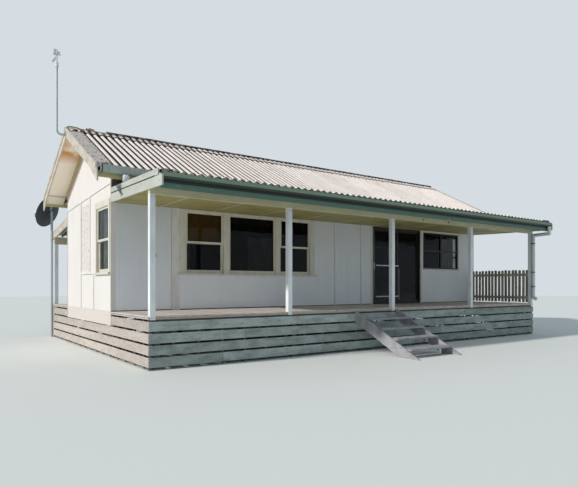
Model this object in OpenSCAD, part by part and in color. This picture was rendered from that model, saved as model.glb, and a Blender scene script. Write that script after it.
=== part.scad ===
// Beach house: a sheet-clad cottage on stumps, with a front veranda and a rear porch.
// +X runs to the right along the front, +Y towards the back, +Z up.
// The origin is on the ground, under the middle of the ridge.

/* [House] */
// Length of the house and of its decks along the front
house_len = 11135; // [10700:5:13500]
// Depth of the room block, over the outer faces of its front and back walls
room_depth = 3400; // [2800:10:4600]
// Depth of the front veranda, from the front wall to the edge of its deck
veranda_depth = 1930; // [1500:10:2600]
// Depth of the rear porch, from the back wall to the edge of its deck
porch_depth = 1650; // [1200:10:2400]
// Height of the decks and the floor above the ground
deck_h = 860; // [780:5:1200]
// Thickness of the framed walls with their sheets
wall_t = 90; // [80:5:140]
// Thickness of the floor and deck boards
board_t = 22; // [16:1:35]

/* [Stumps and skirting] */
// Side of a square stump
stump_w = 100; // [80:5:150]
// Height of a bearer under the floor
bearer_h = 100; // [75:5:150]
// Height of one skirting board
skirt_h = 170; // [100:1:220]
// Open gap between two skirting boards
skirt_gap = 20; // [6:1:30]
// Thickness of a skirting board
skirt_t = 20; // [12:1:30]
// Height of the edge strip right under the deck boards
edge_h = 38; // [30:1:80]

/* [Main roof] */
// Pitch of the main roof in degrees
roof_pitch = 27.5; // [20:0.5:35]
// Height of the underside of the main sheets over the long walls, above the deck
plate_h = 2855; // [2750:5:3400]
// Reach of the sheets beyond the long walls
eave_reach = 510; // [400:10:700]
// Overhang of the left gable, beyond its wall
verge_left = 425; // [200:5:600]
// Overhang of the right gable, beyond its wall
verge_right = 60; // [40:10:600]
// Distance between two waves of the corrugated sheets
wave_pitch = 146; // [100:1:180]
// Height of a wave
wave_h = 48; // [20:1:60]
// Thickness of the sheets
sheet_t = 6; // [4:0.5:10]
// Depth of a barge board, square to its length
barge_h = 190; // [140:5:260]
// Thickness of a barge board
barge_t = 25; // [18:1:40]
// Width of the flat capping along a verge
verge_cap_w = 280; // [120:10:400]

/* [Veranda] */
// Side of a square post
post_w = 90; // [70:5:140]
// Set-back of the end posts from the ends of the deck
post_inset = 25; // [10:5:120]
// Set-back of the rear porch's posts from the back edge of their deck
porch_post_inset = 30; // [10:5:120]
// Height of the underside of the veranda beam above the deck
post_h = 1946; // [1850:2:2300]
// Depth of the beams on the posts
beam_h = 190; // [140:5:240]
// Height of the veranda ceiling above the deck
ceiling_h = 2050; // [2000:5:2300]
// Thickness of the ceiling and soffit sheets
lining_t = 6; // [5:1:12]
// Fall of the veranda roof in degrees
veranda_pitch = 1.3; // [1:0.1:4]
// Reach of the veranda roof beyond the edge of the deck
veranda_reach = 500; // [300:10:700]
// Height of the underside of the veranda sheets at the front wall, above the deck
veranda_top = 2250; // [2210:5:2350]
// Depth of the fascia board behind the veranda gutter
fascia_h = 225; // [180:5:260]
// Width and height of a gutter
gutter_w = 100; // [80:5:150]
// Height of a gutter's front face
gutter_h = 95; // [70:5:120]
// Thickness of the gutters' metal
gutter_t = 2; // [1:0.5:4]

/* [Rear porch] */
// Fall of the porch roof in degrees
porch_pitch = 8; // [5:0.5:12]
// Height of the underside of the porch sheets at the back wall, above the deck
porch_top = 2090; // [2000:10:2300]
// Reach of the porch roof beyond the edge of its deck
porch_reach = 330; // [150:10:500]

/* [Openings] */
// Distance from the left wall to the sliding door's frame
door_from_left = 6785; // [5600:5:7200]
// Width of the sliding door's frame
door_w = 1870; // [1600:10:2200]
// Height of the sliding door's frame above the deck
door_h = 2044; // [1950:2:2100]
// Distance from the left wall to the triple window's frame
triple_from_left = 1460; // [800:5:2000]
// Width of the triple window's frame
triple_w = 3295; // [2800:5:3800]
// Height of the timber windows' sill above the deck
sill_h = 705; // [600:5:900]
// Height of the timber windows' head above the deck
head_h = 2045; // [1900:5:2048]
// Distance from the left wall to the aluminium window
alu_from_left = 8785; // [8755:5:9200]
// Width of the aluminium window
alu_w = 1566; // [1200:2:1800]
// Height of the aluminium window's sill above the deck
alu_sill_h = 970; // [800:10:1100]
// Height of the aluminium window's head above the deck
alu_head_h = 2000; // [1850:5:2030]
// Width of a gable or back window
small_w = 880; // [700:10:1150]

/* [Steps, balustrade and dish] */
// Width of the flight of steps
step_w = 1250; // [900:10:1600]
// Run of the flight, from the deck's edge to the foot of its stringers
step_run = 1700; // [1300:10:2200]
// Height of the balustrade above the deck
rail_h = 940; // [850:10:1100]
// Width of a paling
paling_w = 75; // [50:1:95]
// Diameter of the dish
dish_d = 830; // [600:10:1000]
// Height of the middle of the dish above the ground
dish_h = 3250; // [2600:10:3600]

/* [Hidden] */

half_len = house_len / 2;
half_depth = room_depth / 2;
deck_front = -half_depth - veranda_depth;
deck_back = half_depth + porch_depth;
eps = 0.01;

// Levels under the floor
floor_under = deck_h - board_t;
bearer_under = floor_under - bearer_h;
skirt_pitch = skirt_h + skirt_gap;
edge_under = floor_under - edge_h;
function skirt_top(k) = edge_under - skirt_gap - k * skirt_pitch;
skirt_count = ceil((edge_under - skirt_gap) / skirt_pitch);
wall_under = skirt_top(1) + skirt_gap / 2;

// Roof lines: the underside of the main sheets at a distance from the ridge
ridge_h = deck_h + plate_h + half_depth * tan(roof_pitch);
function roof_z(y) = ridge_h - abs(y) * tan(roof_pitch);
function steep(d) = d / cos(roof_pitch);
sheet_rise = wave_h + sheet_t;
eave_y = half_depth + eave_reach;
eave_fascia_y = eave_y - 40;
eave_soffit_z = roof_z(eave_fascia_y) - 130;
roof_left = -half_len - verge_left;
roof_right = half_len + verge_right;

// Veranda lines
beam_under = deck_h + post_h;
beam_top = beam_under + beam_h;
post_y = deck_front + post_w / 2;
post_x = half_len - post_inset - post_w / 2;
// The middle posts stand a little off their even places
post_shift = [0, -70, -45, 5, 0];
veranda_post_x = [for (k = [0:4]) (k - 2) * post_x / 2 + post_shift[k]];
function veranda_z(y) = deck_h + veranda_top + (y + half_depth) * tan(veranda_pitch);
veranda_edge = deck_front - veranda_reach;
fascia_y = veranda_edge + 50;
fascia_top = veranda_z(fascia_y) - 4;
gutter_front = fascia_y - gutter_w;

// Porch lines
function porch_z(y) = deck_h + porch_top - (y - half_depth) * tan(porch_pitch);
porch_edge = deck_back + porch_reach;
porch_post_y = deck_back - porch_post_inset - post_w / 2;
porch_rafter_h = 90;
porch_beam_top = porch_z(porch_post_y + post_w / 2) - porch_rafter_h / cos(porch_pitch);

// Openings
door_x = -half_len + door_from_left;
triple_x = -half_len + triple_from_left;
alu_x = -half_len + alu_from_left;
fit = 5;
seat = 0.3;

// A box given by its lowest and highest corners
module box(a, b) {
    translate(a) cube([b[0] - a[0], b[1] - a[1], b[2] - a[2]]);
}

// Draws the part and its copy on the other side of the middle
module both_ends() {
    children();
    mirror([1, 0, 0]) children();
}

// A profile drawn in Y and Z, extruded along X from x0 to x1
module along_x(x0, x1) {
    translate([x0, 0, 0]) rotate([90, 0, 90]) linear_extrude(x1 - x0) children();
}

// A profile drawn in X and Z, extruded along Y from y0 to y1
module along_y(y0, y1) {
    translate([0, y1, 0]) rotate([90, 0, 0]) linear_extrude(y1 - y0) children();
}

// Outline of a corrugated sheet seen from its end, with whole waves and a true thickness
module wave_outline(len) {
    waves = round(len / wave_pitch);
    steps = 6;
    dx = len / waves / steps;
    count = waves * steps;
    function wave(i) = wave_h / 2 * (1 - cos(360 * i / steps));
    polygon(concat([for (i = [0:count]) [i * dx, wave(i)]],
                   [for (i = [count:-1:0]) [i * dx, wave(i) + sheet_t]]));
}

// A corrugated sheet that lies on a slope: its high edge is at y = 0 and it falls towards -Y
module sheet(x0, x1, run, pitch) {
    rotate([pitch, 0, 0]) along_y(-run, 0) translate([x0, 0]) wave_outline(x1 - x0);
}

// Stumps in five rows of five, one of them under the origin
module stumps() {
    rows = [deck_front + skirt_t + stump_w / 2, -half_depth + wall_t / 2, 0, half_depth - wall_t / 2,
            deck_back - skirt_t - stump_w / 2];
    reach = half_len - wall_t - stump_w / 2 - fit;
    color("dimgray")
    for (y = rows, k = [-2:2])
        translate([k * reach / 2 - stump_w / 2, y - stump_w / 2, 0])
        cube([stump_w, stump_w, bearer_under]);
}

// Bearers along the house, one on each row of stumps
module bearers() {
    rows = [deck_front + skirt_t + stump_w / 2, -half_depth + wall_t / 2, 0, half_depth - wall_t / 2,
            deck_back - skirt_t - stump_w / 2];
    reach = half_len - wall_t;
    color("saddlebrown")
    for (y = rows)
        box([-reach, y - stump_w / 2, bearer_under], [reach, y + stump_w / 2, floor_under]);
}

module floor() {
    reach = half_len - wall_t;
    color("burlywood")
    box([-reach, -half_depth, floor_under], [reach, half_depth, deck_h]);
}

// Cuts the veranda posts' notches, each a little wider than the post
module post_notches() {
    for (x = veranda_post_x)
        translate([x - post_w / 2 - seat, deck_front - 1, edge_under - 1])
        cube([post_w + 2 * seat, post_w + seat + 1, deck_h - edge_under + 2]);
}

// The front deck, notched round the veranda posts
module front_deck() {
    color("rosybrown")
    difference() {
        box([-half_len, deck_front, floor_under], [half_len, -half_depth, deck_h]);
        post_notches();
    }
}

module rear_deck() {
    color("rosybrown")
    box([-half_len, half_depth, floor_under], [half_len, deck_back, deck_h]);
}

// Spaced boards from x0 to x1 on a face whose outer side is at y = 0, from board first down to the ground
module skirt_boards(x0, x1, first, last) {
    for (k = [first:last])
        box([x0, 0, max(0, skirt_top(k) - skirt_h)], [x1, skirt_t, skirt_top(k)]);
}

// The strip that closes the edge of a deck right under its boards
module edge_strip(x0, x1) {
    box([x0, 0, edge_under], [x1, skirt_t, floor_under]);
}

module front_skirting() {
    color("darkseagreen") {
        difference() {
            translate([0, deck_front, 0]) edge_strip(-half_len, half_len);
            post_notches();
        }
        translate([0, deck_front, 0]) skirt_boards(-half_len, half_len, 0, skirt_count - 1);
    }
}

// Each side has two short top boards beside the wall, and long boards that run on below it
module side_skirting() {
    front = deck_front + skirt_t;
    back = deck_back - skirt_t;
    color("mistyrose")
    both_ends()
    translate([-half_len, 0, 0]) mirror([1, -1, 0]) {
        edge_strip(front, -half_depth);
        edge_strip(half_depth, back);
        skirt_boards(front, -half_depth, 0, 0);
        skirt_boards(half_depth, back, 0, 0);
        skirt_boards(front, back, 1, skirt_count - 1);
    }
}

module rear_skirting() {
    color("darkseagreen")
    translate([0, deck_back - skirt_t, 0]) {
        edge_strip(-half_len, half_len);
        skirt_boards(-half_len, half_len, 0, skirt_count - 1);
    }
}

// Outline of a gable wall in Y and Z, up to the underside of the sheets
module gable_outline() {
    polygon([[-half_depth, wall_under], [half_depth, wall_under], [half_depth, roof_z(half_depth)],
             [0, ridge_h], [-half_depth, roof_z(half_depth)]]);
}

small_y = -half_depth + 70;

// A gable wall with its window cut through
module gable_wall() {
    difference() {
        along_x(-half_len, -half_len + wall_t) gable_outline();
        box([-half_len - 1, small_y, deck_h + sill_h],
            [-half_len + wall_t + 1, small_y + small_w, deck_h + head_h]);
    }
}

module left_gable_wall() {
    color("white") gable_wall();
}

module right_gable_wall() {
    color("white") mirror([1, 0, 0]) gable_wall();
}

// A long wall's piece from x0 to x1 and from z0 up to the roof, its outer face towards -Y
module long_wall(x0, x1, z0) {
    along_x(x0, x1)
    polygon([[-half_depth, z0], [-half_depth + wall_t, z0], [-half_depth + wall_t, roof_z(half_depth - wall_t)],
             [-half_depth, roof_z(half_depth)]]);
}

// Cuts a window or a door through a long wall
module wall_hole(x, z, w, h) {
    box([x, -half_depth - 1, deck_h + z], [x + w, -half_depth + wall_t + 1, deck_h + h]);
}

inner_len = half_len - wall_t;

module front_wall_left() {
    color("white")
    difference() {
        long_wall(-inner_len, door_x, deck_h);
        wall_hole(triple_x, sill_h, triple_w, head_h);
    }
}

module front_wall_right() {
    color("white")
    difference() {
        long_wall(door_x + door_w, inner_len, deck_h);
        wall_hole(alu_x, alu_sill_h, alu_w, alu_head_h);
    }
}

module front_wall_over_door() {
    color("white") long_wall(door_x, door_x + door_w, deck_h + door_h);
}

back_window_x = [-3300, 2400];
back_door_x = -600;
back_door_w = 870;
back_head_h = porch_top - 180;

// The hidden back wall: a door to the porch between two windows
module back_wall() {
    color("white")
    mirror([0, 1, 0])
    difference() {
        long_wall(-inner_len, inner_len, deck_h);
        for (x = back_window_x) wall_hole(x, sill_h, small_w, back_head_h);
        translate([0, 0, -1]) wall_hole(back_door_x, 0, back_door_w, back_head_h + 1);
    }
}

strip_w = 42;
strip_t = 8;
corner_strip_w = 25;
mid_strip_z = deck_h + 729;
// Underside of the strip across the gable, which drops a little towards the back
function gable_strip_z(y) = deck_h + 2329 - 0.048 * y;
// Joints of the front wall's sheets, as distances from the left wall and widths of their strips
wall_joints = [[1206, 168], [5480, strip_w], [6362, strip_w]];
// Upright joints of the gable sheets, each with its place from the middle of the wall, its foot and its top
gable_joints = [[440, deck_h, gable_strip_z(440 + strip_w)],
                [-281, mid_strip_z + strip_w + 1, gable_strip_z(strip_w - 281)],
                [-560, deck_h, mid_strip_z]];

// Flat strips that cover the joints of the wall sheets
module cover_strips() {
    color("whitesmoke") {
        both_ends() translate([-half_len - strip_t, 0, 0]) {
            along_x(0, strip_t)
                polygon([for (p = [[-1, 0], [1, 0], [1, strip_w], [-1, strip_w]])
                         [p[0] * half_depth, gable_strip_z(p[0] * half_depth) + p[1]]]);
            box([0, small_y + small_w + 41, mid_strip_z],
                [strip_t, gable_joints[0][0] - 1, mid_strip_z + strip_w]);
            for (joint = gable_joints)
                box([0, joint[0], joint[1]], [strip_t, joint[0] + strip_w, joint[2] - 1]);
            for (y = [-half_depth, half_depth - corner_strip_w])
                box([0, y, wall_under], [strip_t, y + corner_strip_w, gable_strip_z(y + corner_strip_w) - 1]);
        }
        for (joint = wall_joints)
            box([joint[0] - half_len, -half_depth - strip_t, deck_h],
                [joint[0] + joint[1] - half_len, -half_depth, deck_h + ceiling_h]);
    }
}

sheets_left = roof_left + barge_t + seat;
sheets_right = roof_right - barge_t - seat;
sheet_run = steep(eave_y);

module front_roof() {
    color("gainsboro")
    translate([0, 0, ridge_h]) sheet(sheets_left, sheets_right, sheet_run, roof_pitch);
}

module back_roof() {
    color("gainsboro")
    mirror([0, 1, 0])
    translate([0, 0, ridge_h]) sheet(sheets_left, sheets_right, sheet_run, roof_pitch);
}

// Outline of a board or a sheet that follows one slope, and its copy on the other slope.
// It lies low above the sheets' underside, is thick, ends at reach, and has an open mitre at the peak.
module gable_band(low, thick, reach, joint = 2) {
    a = steep(low);
    b = steep(low + thick);
    top = joint / 2;
    for (side = [-1, 1])
        polygon([[side * reach, roof_z(reach) + a], [side * top, roof_z(top) + a],
                 [side * top, roof_z(top) + b], [side * reach, roof_z(reach) + b]]);
}

ridge_wing = 250;
ridge_r = 44;
ridge_lift = sheet_rise + sheet_t + seat;
// The roll just clears the upper corners of both wings
ridge_roll_z = ridge_h + ridge_lift * cos(roof_pitch)
               + sqrt((ridge_r + seat) ^ 2 - (ridge_lift * sin(roof_pitch)) ^ 2);

// One corrugated wing of the ridge capping, nested on the sheets of one slope
module ridge_wing_sheet() {
    translate([0, 0, ridge_h]) rotate([roof_pitch, 0, 0]) translate([0, 0, sheet_t + seat])
    along_y(-ridge_wing, 0) translate([sheets_left, 0]) wave_outline(sheets_right - sheets_left);
}

// Two corrugated wings and the roll between them, whose foot fills the gap over the ridge
module ridge_capping() {
    foot = ridge_roll_z - ridge_h - 2;
    spread = foot * tan(roof_pitch) - 1;
    color("dimgray") {
        ridge_wing_sheet();
        mirror([0, 1, 0]) ridge_wing_sheet();
        along_x(sheets_left, sheets_right)
        union() {
            translate([0, ridge_roll_z]) circle(r = ridge_r, $fn = 48);
            translate([0, ridge_h + 2]) polygon([[0, 0], [spread, foot], [-spread, foot]]);
        }
    }
}

cap_t = 4;
verge_cap_right = 110;
verge_top = ridge_wing * cos(roof_pitch) + 2 * sheet_rise * sin(roof_pitch);

// A flat capping over both slopes: it stops short of the ridge's wings
module verge_band() {
    difference() {
        gable_band(sheet_rise + seat, cap_t, eave_y + 10);
        translate([-verge_top, ridge_h - verge_top]) square(2 * verge_top);
    }
}

// Flat cappings over the sheets' ends, down both slopes of each gable
module verge_cappings() {
    color("darkgray") {
        along_x(roof_left, roof_left + verge_cap_w) verge_band();
        along_x(roof_right - verge_cap_right, roof_right) verge_band();
    }
}

barge_end = eave_y + 50;

// A pair of barge boards that meet at the peak and end in an upright cut
module barge_pair(x0) {
    along_x(x0, x0 + barge_t)
    gable_band(sheet_rise - barge_h, barge_h, barge_end);
}

module barge_boards() {
    color("antiquewhite") {
        barge_pair(roof_left);
        barge_pair(roof_right - barge_t);
    }
}

// The sheet that lines the underside of the left gable's overhang
module verge_soffit() {
    color("wheat")
    along_x(roof_left + barge_t, -half_len)
    gable_band(sheet_rise - barge_h + 10, lining_t, eave_fascia_y - 2);
}

// Fascia board and flat soffit of one long eave, on the side of -Y
module eave() {
    along_x(-half_len, half_len)
    union() {
        translate([-eave_fascia_y, eave_soffit_z]) square([20, roof_z(eave_fascia_y) - eave_soffit_z]);
        translate([-eave_fascia_y, eave_soffit_z]) square([eave_fascia_y - half_depth, lining_t]);
    }
}

module main_eaves() {
    color("antiquewhite") {
        eave();
        mirror([0, 1, 0]) eave();
    }
}

// Outline of a gutter in Y and Z: its back stands on y = 0 and it reaches to -gutter_w
module gutter_outline() {
    difference() {
        polygon([[0, 0], [-gutter_w * 0.72, 0], [-gutter_w, gutter_h * 0.35], [-gutter_w, gutter_h],
                 [-gutter_w + 14, gutter_h], [-gutter_w + 14, gutter_h - 10], [0, gutter_h - 10]]);
        polygon([[-gutter_t, gutter_t], [-gutter_w * 0.71, gutter_t], [-gutter_w + gutter_t, gutter_h * 0.37],
                 [-gutter_w + gutter_t, gutter_h - gutter_t], [-gutter_w + 14 - gutter_t, gutter_h - gutter_t],
                 [-gutter_w + 14 - gutter_t, gutter_h + 1], [-gutter_t, gutter_h + 1]]);
    }
}

main_gutter_r = 55;
bead_r = 7;

// Outline of a half-round gutter under the sheets' ends, with a bead on its front edge
module half_round_outline() {
    mid = [-eave_fascia_y - main_gutter_r, roof_z(eave_fascia_y) + 5];
    back = eave_fascia_y - 1;
    tip = eave_y + 4;
    difference() {
        union() {
            difference() {
                translate(mid) circle(r = main_gutter_r, $fn = 48);
                translate(mid) circle(r = main_gutter_r - gutter_t, $fn = 48);
                translate(mid - [main_gutter_r + 1, 0]) square([2 * main_gutter_r + 2, main_gutter_r + 1]);
            }
            translate(mid - [main_gutter_r - 6, 0]) circle(r = bead_r, $fn = 24);
        }
        polygon([[-tip, roof_z(tip) - 2], [-back, roof_z(back) - 2], [-back, roof_z(back) + 99],
                 [-tip, roof_z(back) + 99]]);
    }
}

module main_gutter() {
    along_x(sheets_left + 4, sheets_right - 4) half_round_outline();
}

module main_gutters() {
    color("darkseagreen") {
        main_gutter();
        mirror([0, 1, 0]) main_gutter();
    }
}

// Posts that stand on the front bearer, each with a tongue down its face over the edge of the deck
module veranda_posts() {
    color("aliceblue")
    for (x = veranda_post_x) translate([x - post_w / 2, deck_front, 0]) {
        box([0, 0, floor_under], [post_w, post_w, beam_under]);
        box([0, 0, edge_under], [post_w, skirt_t, floor_under + eps]);
    }
}

module rear_porch_posts() {
    color("white")
    for (k = [-2:2])
        translate([k * post_x / 2 - post_w / 2, porch_post_y - post_w / 2, deck_h])
        cube([post_w, post_w, porch_beam_top - beam_h - deck_h]);
}

end_board_t = 25;

module beams() {
    reach = half_len - end_board_t;
    color("tan") {
        box([-reach, post_y - post_w / 2, beam_under], [reach, post_y + post_w / 2, beam_top]);
        box([-reach, porch_post_y - post_w / 2, porch_beam_top - beam_h],
            [reach, porch_post_y + post_w / 2, porch_beam_top]);
    }
}

rafter_w = 45;

// Rafters under the veranda and porch sheets, from the wall to the fascia
module rafters() {
    count = 12;
    reach = half_len - end_board_t - rafter_w / 2;
    porch_end = porch_edge - 60;
    porch_drop = porch_rafter_h / cos(porch_pitch);
    function rafter_under(y) = beam_top + seat + (y - post_y + post_w / 2) * tan(veranda_pitch);
    color("tan")
    for (k = [0:count]) {
        x = -reach + k * 2 * reach / count;
        along_x(x - rafter_w / 2, x + rafter_w / 2)
            polygon([[-half_depth, veranda_z(-half_depth)], [fascia_y + 20, veranda_z(fascia_y + 20)],
                     [fascia_y + 20, rafter_under(fascia_y + 20)], [-half_depth, rafter_under(-half_depth)]]);
        along_x(x - rafter_w / 2, x + rafter_w / 2)
            polygon([[half_depth, porch_z(half_depth)], [porch_end, porch_z(porch_end)],
                     [porch_end, porch_z(porch_end) - porch_drop],
                     [half_depth, porch_z(half_depth) - porch_drop]]);
    }
}

module veranda_ceiling() {
    reach = half_len - end_board_t;
    color("tan")
    box([-reach, post_y + post_w / 2, deck_h + ceiling_h], [reach, -half_depth, deck_h + ceiling_h + lining_t]);
}

module veranda_fascia() {
    reach = half_len - end_board_t;
    color("seagreen")
    box([-reach, fascia_y, fascia_top - fascia_h], [reach, fascia_y + 20, fascia_top]);
}

module veranda_gutter() {
    reach = half_len - end_board_t;
    color("seagreen")
    along_x(-reach, reach) translate([fascia_y, fascia_top - gutter_h]) gutter_outline();
}

module veranda_roof() {
    reach = half_len - end_board_t;
    color("gainsboro")
    translate([0, -half_depth, veranda_z(-half_depth)])
    sheet(seat - reach, reach - seat, (-half_depth - veranda_edge) / cos(veranda_pitch), veranda_pitch);
}

// The two boards that close each end of the veranda roof, one above the other
module veranda_end_boards() {
    low_h = 165;
    high_h = 98;
    gap = 12;
    low_end = gutter_front - 2;
    high_end = veranda_edge + 110;
    function low(y) = deck_h + ceiling_h + (y + half_depth) * tan(veranda_pitch);
    color("beige")
    both_ends()
    along_x(-half_len, -half_len + end_board_t) {
        polygon([[-half_depth, low(-half_depth)], [low_end, low(low_end)], [low_end, low(low_end) + low_h],
                 [-half_depth, low(-half_depth) + low_h]]);
        polygon([[-half_depth, low(-half_depth) + low_h + gap], [high_end, low(high_end) + low_h + gap],
                 [high_end, low(high_end) + low_h + gap + high_h],
                 [-half_depth, low(-half_depth) + low_h + gap + high_h]]);
    }
}

module rear_porch_roof() {
    reach = half_len - end_board_t;
    color("slategray")
    translate([0, half_depth, porch_z(half_depth)]) mirror([0, 1, 0])
    sheet(seat - reach, reach - seat, (porch_edge - half_depth) / cos(porch_pitch), porch_pitch);
}

module rear_porch_barges() {
    low = 150;
    color("antiquewhite")
    both_ends()
    along_x(-half_len, -half_len + end_board_t)
    polygon([[half_depth, porch_z(half_depth) + sheet_rise], [porch_edge, porch_z(porch_edge) + sheet_rise],
             [porch_edge, porch_z(porch_edge) - low], [half_depth, porch_z(half_depth) - low]]);
}

pipe_r = 46;

// A length of pipe that runs down from the origin after a turn towards +Y, with a collar on its upper bend
module pipe_length(length, turn) {
    sphere(r = pipe_r + 4, $fn = 48);
    rotate([turn, 0, 0]) translate([0, 0, -length]) cylinder(r = pipe_r, h = length, $fn = 32);
}

// Downpipe of the veranda gutter: back under the eave, down in front of the last post, and out at its shoe
module downpipe() {
    turn = 88;
    shoe_turn = 55;
    shoe = 110;
    first = fascia_h - gutter_h + pipe_r + 20;
    out_y = fascia_y - gutter_w / 2;
    out_z = fascia_top - gutter_h;
    pipe_y = post_y - post_w / 2 - pipe_r - 4 - seat;
    neck = (pipe_y - out_y) / sin(turn);
    neck_z = out_z - first - neck * cos(turn);
    foot_z = deck_h + 170;
    color("lightgray") translate([half_len - end_board_t - pipe_r - 8, 0, 0]) {
        translate([0, out_y, out_z - first]) cylinder(r = pipe_r, h = first, $fn = 32);
        translate([0, out_y, out_z - first]) pipe_length(neck, turn);
        translate([0, pipe_y, neck_z]) pipe_length(neck_z - foot_z, 0);
        translate([0, pipe_y, foot_z]) pipe_length(shoe, -shoe_turn);
    }
}

frame_w = 46;
frame_proud = 20;
window_head_t = 28;
window_sill_t = 38;
sill_y = -frame_proud - 35;

// A window frame round an opening w wide and h high, drawn with its outer face towards -Y.
// Its casing laps over the wall at the sides and above the head, its sill projects and ends in horns,
// and lights lists the left and right edge of each light.
module window_frame(w, h, lights, casing, horn, head = 0) {
    sill_end = casing + horn;
    color("cornsilk")
    difference() {
        union() {
            box([0, -frame_proud, 0], [w, wall_t, h]);
            box([-casing, -frame_proud, 0], [w + casing, 0, h + head]);
            box([-sill_end, sill_y, 0], [w + sill_end, -strip_t - seat, window_sill_t]);
        }
        for (light = lights)
            box([light[0], -frame_proud - 1, window_sill_t], [light[1], wall_t + 1, h - window_head_t]);
    }
}

triple_casing = 85;
small_casing = 40;
side_light_w = 870;
mullion_w = 125;
mid_light_x = frame_w + side_light_w + mullion_w;
triple_lights = [[frame_w, frame_w + side_light_w],
                 [mid_light_x, triple_w - mid_light_x],
                 [triple_w - frame_w - side_light_w, triple_w - frame_w]];
mid_light_w = triple_w - 2 * mid_light_x;
small_lights = [[frame_w, small_w - frame_w]];

// Places its children at the gable windows and the back windows, each drawn like a front one
module small_windows() {
    both_ends() translate([-half_len, small_y + small_w, deck_h + sill_h]) rotate([0, 0, -90]) children(0);
    for (x = back_window_x)
        translate([x + small_w, half_depth, deck_h + sill_h]) rotate([0, 0, 180]) children(1);
}

module window_frames() {
    translate([triple_x, -half_depth, deck_h + sill_h])
    window_frame(triple_w, head_h - sill_h, triple_lights, triple_casing, 45);
    small_windows() {
        window_frame(small_w, head_h - sill_h, small_lights, small_casing, 20, 95);
        window_frame(small_w, back_head_h - sill_h, small_lights, small_casing, 20);
    }
}

sash_w = 45;
sash_t = 35;
sash_foot = 70;

// One sash, a frame of timber round its pane, with a bottom rail of its own height
module sash(w, h, foot = sash_w) {
    difference() {
        cube([w, sash_t, h]);
        translate([sash_w, -1, foot]) cube([w - 2 * sash_w, sash_t + 2, h - foot - sash_w]);
    }
}

// An upper sash outside and a lower sash inside, in a light w wide and h high
module hung_sashes(w, h) {
    half = h / 2 + sash_w / 2;
    color("cornsilk") {
        translate([0, 5, h - half]) sash(w, half);
        translate([0, 5 + sash_t, 0]) sash(w, half, sash_foot);
    }
}

function light_h(head) = head - sill_h - window_head_t - window_sill_t;

module window_sashes() {
    translate([triple_x, -half_depth, deck_h + sill_h + window_sill_t])
    {
        for (k = [0, 2])
            translate([triple_lights[k][0], 0, 0]) hung_sashes(side_light_w, light_h(head_h));
        color("cornsilk") translate([mid_light_x, 5, 0]) sash(mid_light_w, light_h(head_h), sash_foot);
    }
    small_windows() {
        translate([frame_w, 0, window_sill_t]) hung_sashes(small_w - 2 * frame_w, light_h(head_h));
        translate([frame_w, 0, window_sill_t]) hung_sashes(small_w - 2 * frame_w, light_h(back_head_h));
    }
}

glass_t = 5;

// A pane that sits in a sash w wide and h high
module pane(w, h, foot = sash_w) {
    translate([sash_w, sash_t / 2 - glass_t / 2, foot]) cube([w - 2 * sash_w, glass_t, h - foot - sash_w]);
}

module hung_panes(w, h) {
    half = h / 2 + sash_w / 2;
    translate([0, 5, h - half]) pane(w, half);
    translate([0, 5 + sash_t, 0]) pane(w, half, sash_foot);
}

alu_bar = 40;
alu_d = 60;

module window_glass() {
    color("darkslategray", 0.6) {
        translate([triple_x, -half_depth, deck_h + sill_h + window_sill_t])
        {
            for (k = [0, 2])
                translate([triple_lights[k][0], 0, 0]) hung_panes(side_light_w, light_h(head_h));
            translate([mid_light_x, 5, 0]) pane(mid_light_w, light_h(head_h), sash_foot);
        }
        small_windows() {
            translate([frame_w, 0, window_sill_t]) hung_panes(small_w - 2 * frame_w, light_h(head_h));
            translate([frame_w, 0, window_sill_t]) hung_panes(small_w - 2 * frame_w, light_h(back_head_h));
        }
        for (k = [0:1], j = [0:1])
            translate([alu_x + alu_bar + k * (alu_w - alu_bar) / 2, -half_depth + 25,
                       deck_h + alu_sill_h + alu_bar + j * (alu_head_h - alu_sill_h - alu_bar) / 2])
            cube([(alu_w - 3 * alu_bar) / 2, glass_t, (alu_head_h - alu_sill_h - 3 * alu_bar) / 2]);
        translate([door_x + door_w / 2 + leaf_bar, leaf_y + leaf_t / 2, deck_h + frame_bar + leaf_bar])
        cube([door_w / 2 - frame_bar - 2 * leaf_bar, glass_t, door_h - 2 * frame_bar - 2 * leaf_bar]);
    }
}

module aluminium_window() {
    h = alu_head_h - alu_sill_h;
    color("black")
    translate([alu_x, -half_depth, deck_h + alu_sill_h])
    difference() {
        box([0, -5, 0], [alu_w, alu_d, h]);
        for (k = [0:1], j = [0:1])
            translate([alu_bar + k * (alu_w - alu_bar) / 2, -6, alu_bar + j * (h - alu_bar) / 2])
            cube([(alu_w - 3 * alu_bar) / 2, alu_d + 7, (h - 3 * alu_bar) / 2]);
    }
}

trim_w = 60;
trim_t = 14;

// Face trims round the sliding door and the aluminium window
module opening_trims() {
    door_end = door_x + door_w;
    alu_end = alu_x + alu_w;
    top = deck_h + ceiling_h;
    color("cornsilk") translate([0, -half_depth, 0]) {
        box([door_x - trim_w, -trim_t, deck_h], [door_x, 0, top]);
        box([door_end, -trim_t, deck_h], [door_end + trim_w, 0, top]);
        box([door_end + trim_w, -trim_t, deck_h + alu_head_h], [alu_end + trim_w, 0, top]);
        box([alu_end, -trim_t, deck_h + alu_sill_h], [alu_end + trim_w, 0, deck_h + alu_head_h]);
        box([door_end + trim_w, -trim_t - 16, deck_h + alu_sill_h - 28],
            [alu_end + trim_w, 0, deck_h + alu_sill_h]);
    }
}

frame_bar = 45;
leaf_bar = 55;
leaf_t = 30;
leaf_y = -half_depth + 45;

module sliding_door_frame() {
    color("black")
    translate([door_x, -half_depth, deck_h])
    difference() {
        box([0, -5, 0], [door_w, wall_t, door_h]);
        box([frame_bar, -6, frame_bar], [door_w - frame_bar, wall_t + 1, door_h - frame_bar]);
    }
}

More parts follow.
